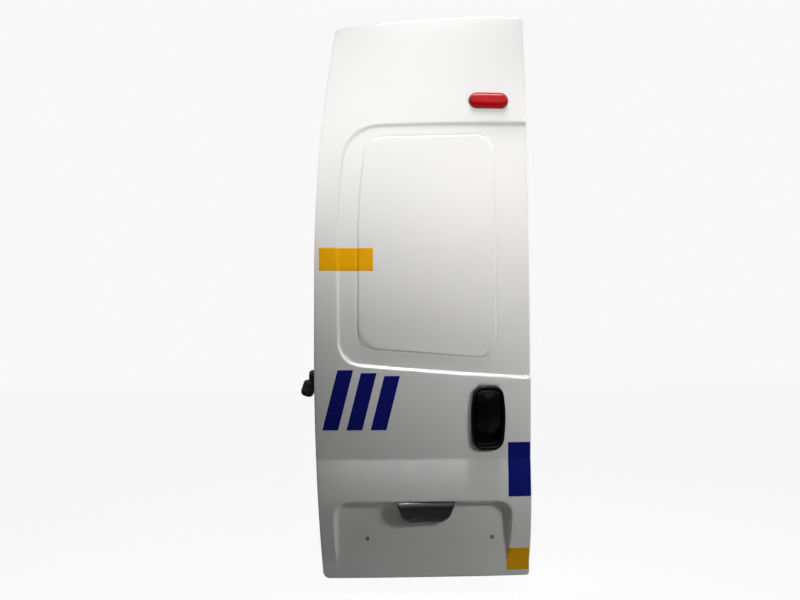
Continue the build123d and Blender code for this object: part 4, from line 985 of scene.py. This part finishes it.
# Floor: grey for bounced light, and for the camera a pale ground mixed with white, which keeps the shadow
FLOOR_DROP, FLOOR_HALF, FLOOR_WHITE = 45.0, 6.0, 0.93
FLOOR_BOUNCE, FLOOR_PALE, FLOOR_ROUGHNESS = (0.35, 0.35, 0.35), (0.85, 0.85, 0.85, 1.0), 0.9
floor_level = float(to_frame((0, 0, -FLOOR_DROP))[2])
floor_signs = ((-1, -1), (1, -1), (1, 1), (-1, 1))
floor_corners = [(x * FLOOR_HALF, y * FLOOR_HALF, floor_level) for x, y in floor_signs]
floor_mesh = bpy.data.meshes.new("floor")
floor_mesh.from_pydata(floor_corners, [], [(0, 1, 2, 3)])
floor = bpy.data.objects.new("floor", floor_mesh)
bpy.context.scene.collection.objects.link(floor)
floor_facts = new_material("floor_white", FLOOR_BOUNCE, FLOOR_ROUGHNESS, specular=0.0)
floor_material, floor_tree, floor_shader = floor_facts
floor_glow = node(floor_tree, "ShaderNodeEmission", Color=WHITE, Strength=1.0)
floor_pale = node(floor_tree, "ShaderNodeBsdfDiffuse", Color=FLOOR_PALE)
floor_show = node(floor_tree, "ShaderNodeMixShader", Fac=FLOOR_WHITE)
floor_tree.links.new(floor_pale.outputs[0], floor_show.inputs[1])
floor_tree.links.new(floor_glow.outputs[0], floor_show.inputs[2])
floor_path = floor_tree.nodes.new("ShaderNodeLightPath")
floor_seen = any_ray(floor_tree, floor_path, SEEN_RAYS)
floor_mix = mix_shaders(floor_tree, floor_seen, floor_shader.outputs[0], floor_show.outputs[0])
floor_tree.links.new(floor_mix, floor_tree.nodes["Material Output"].inputs["Surface"])
floor_mesh.materials.append(floor_material)


def area_lamp(name, place, target, size, power, spread_angle, shines):
    lamp = bpy.data.lights.new(name, "AREA")
    lamp.shape = "RECTANGLE"
    lamp.size, lamp.size_y = size
    lamp.energy = power
    lamp.spread = radians(spread_angle)
    holder = bpy.data.objects.new(name, lamp)
    bpy.context.scene.collection.objects.link(holder)
    start = to_frame(place)
    holder.location = start
    holder.rotation_euler = Vector(to_frame(target) - start).to_track_quat("-Z", "Y").to_euler()
    holder.visible_glossy = shines


# Place, aim, size in metres, power, beam angle, and whether it shows in reflections
LAMPS = {
    "graze": ((560, -350, 2600), (500, 0, 1000), (0.8, 0.3), 4.4, 120, True),
    "skim": ((450, -90, 2700), (430, 5, 330), (0.9, 0.1), 0.6, 12, True),
    "upper": ((1150, -1500, 1750), (560, 0, 1350), (0.8, 0.8), 1.05, 50, False),
    "upper_left": ((-600, -1450, 1850), (0, 0, 1600), (0.8, 0.8), 1.85, 42, False),
    "side": ((1550, -900, 950), (380, 0, 500), (0.3, 0.3), 8.2, 180, False),
    "back": ((400, 2600, 2200), (360, 60, 900), (2.4, 2.0), 9, 50, True),
    "left": ((-2200, 700, 1500), (40, 60, 1100), (0.8, 1.6), 3, 50, False),
    "right": ((2900, 700, 1500), (690, 60, 1100), (0.8, 1.6), 3, 50, False),
}
for lamp_name, lamp_facts in LAMPS.items():
    area_lamp(lamp_name, *lamp_facts)

bpy.context.scene.view_settings.view_transform = "Standard"
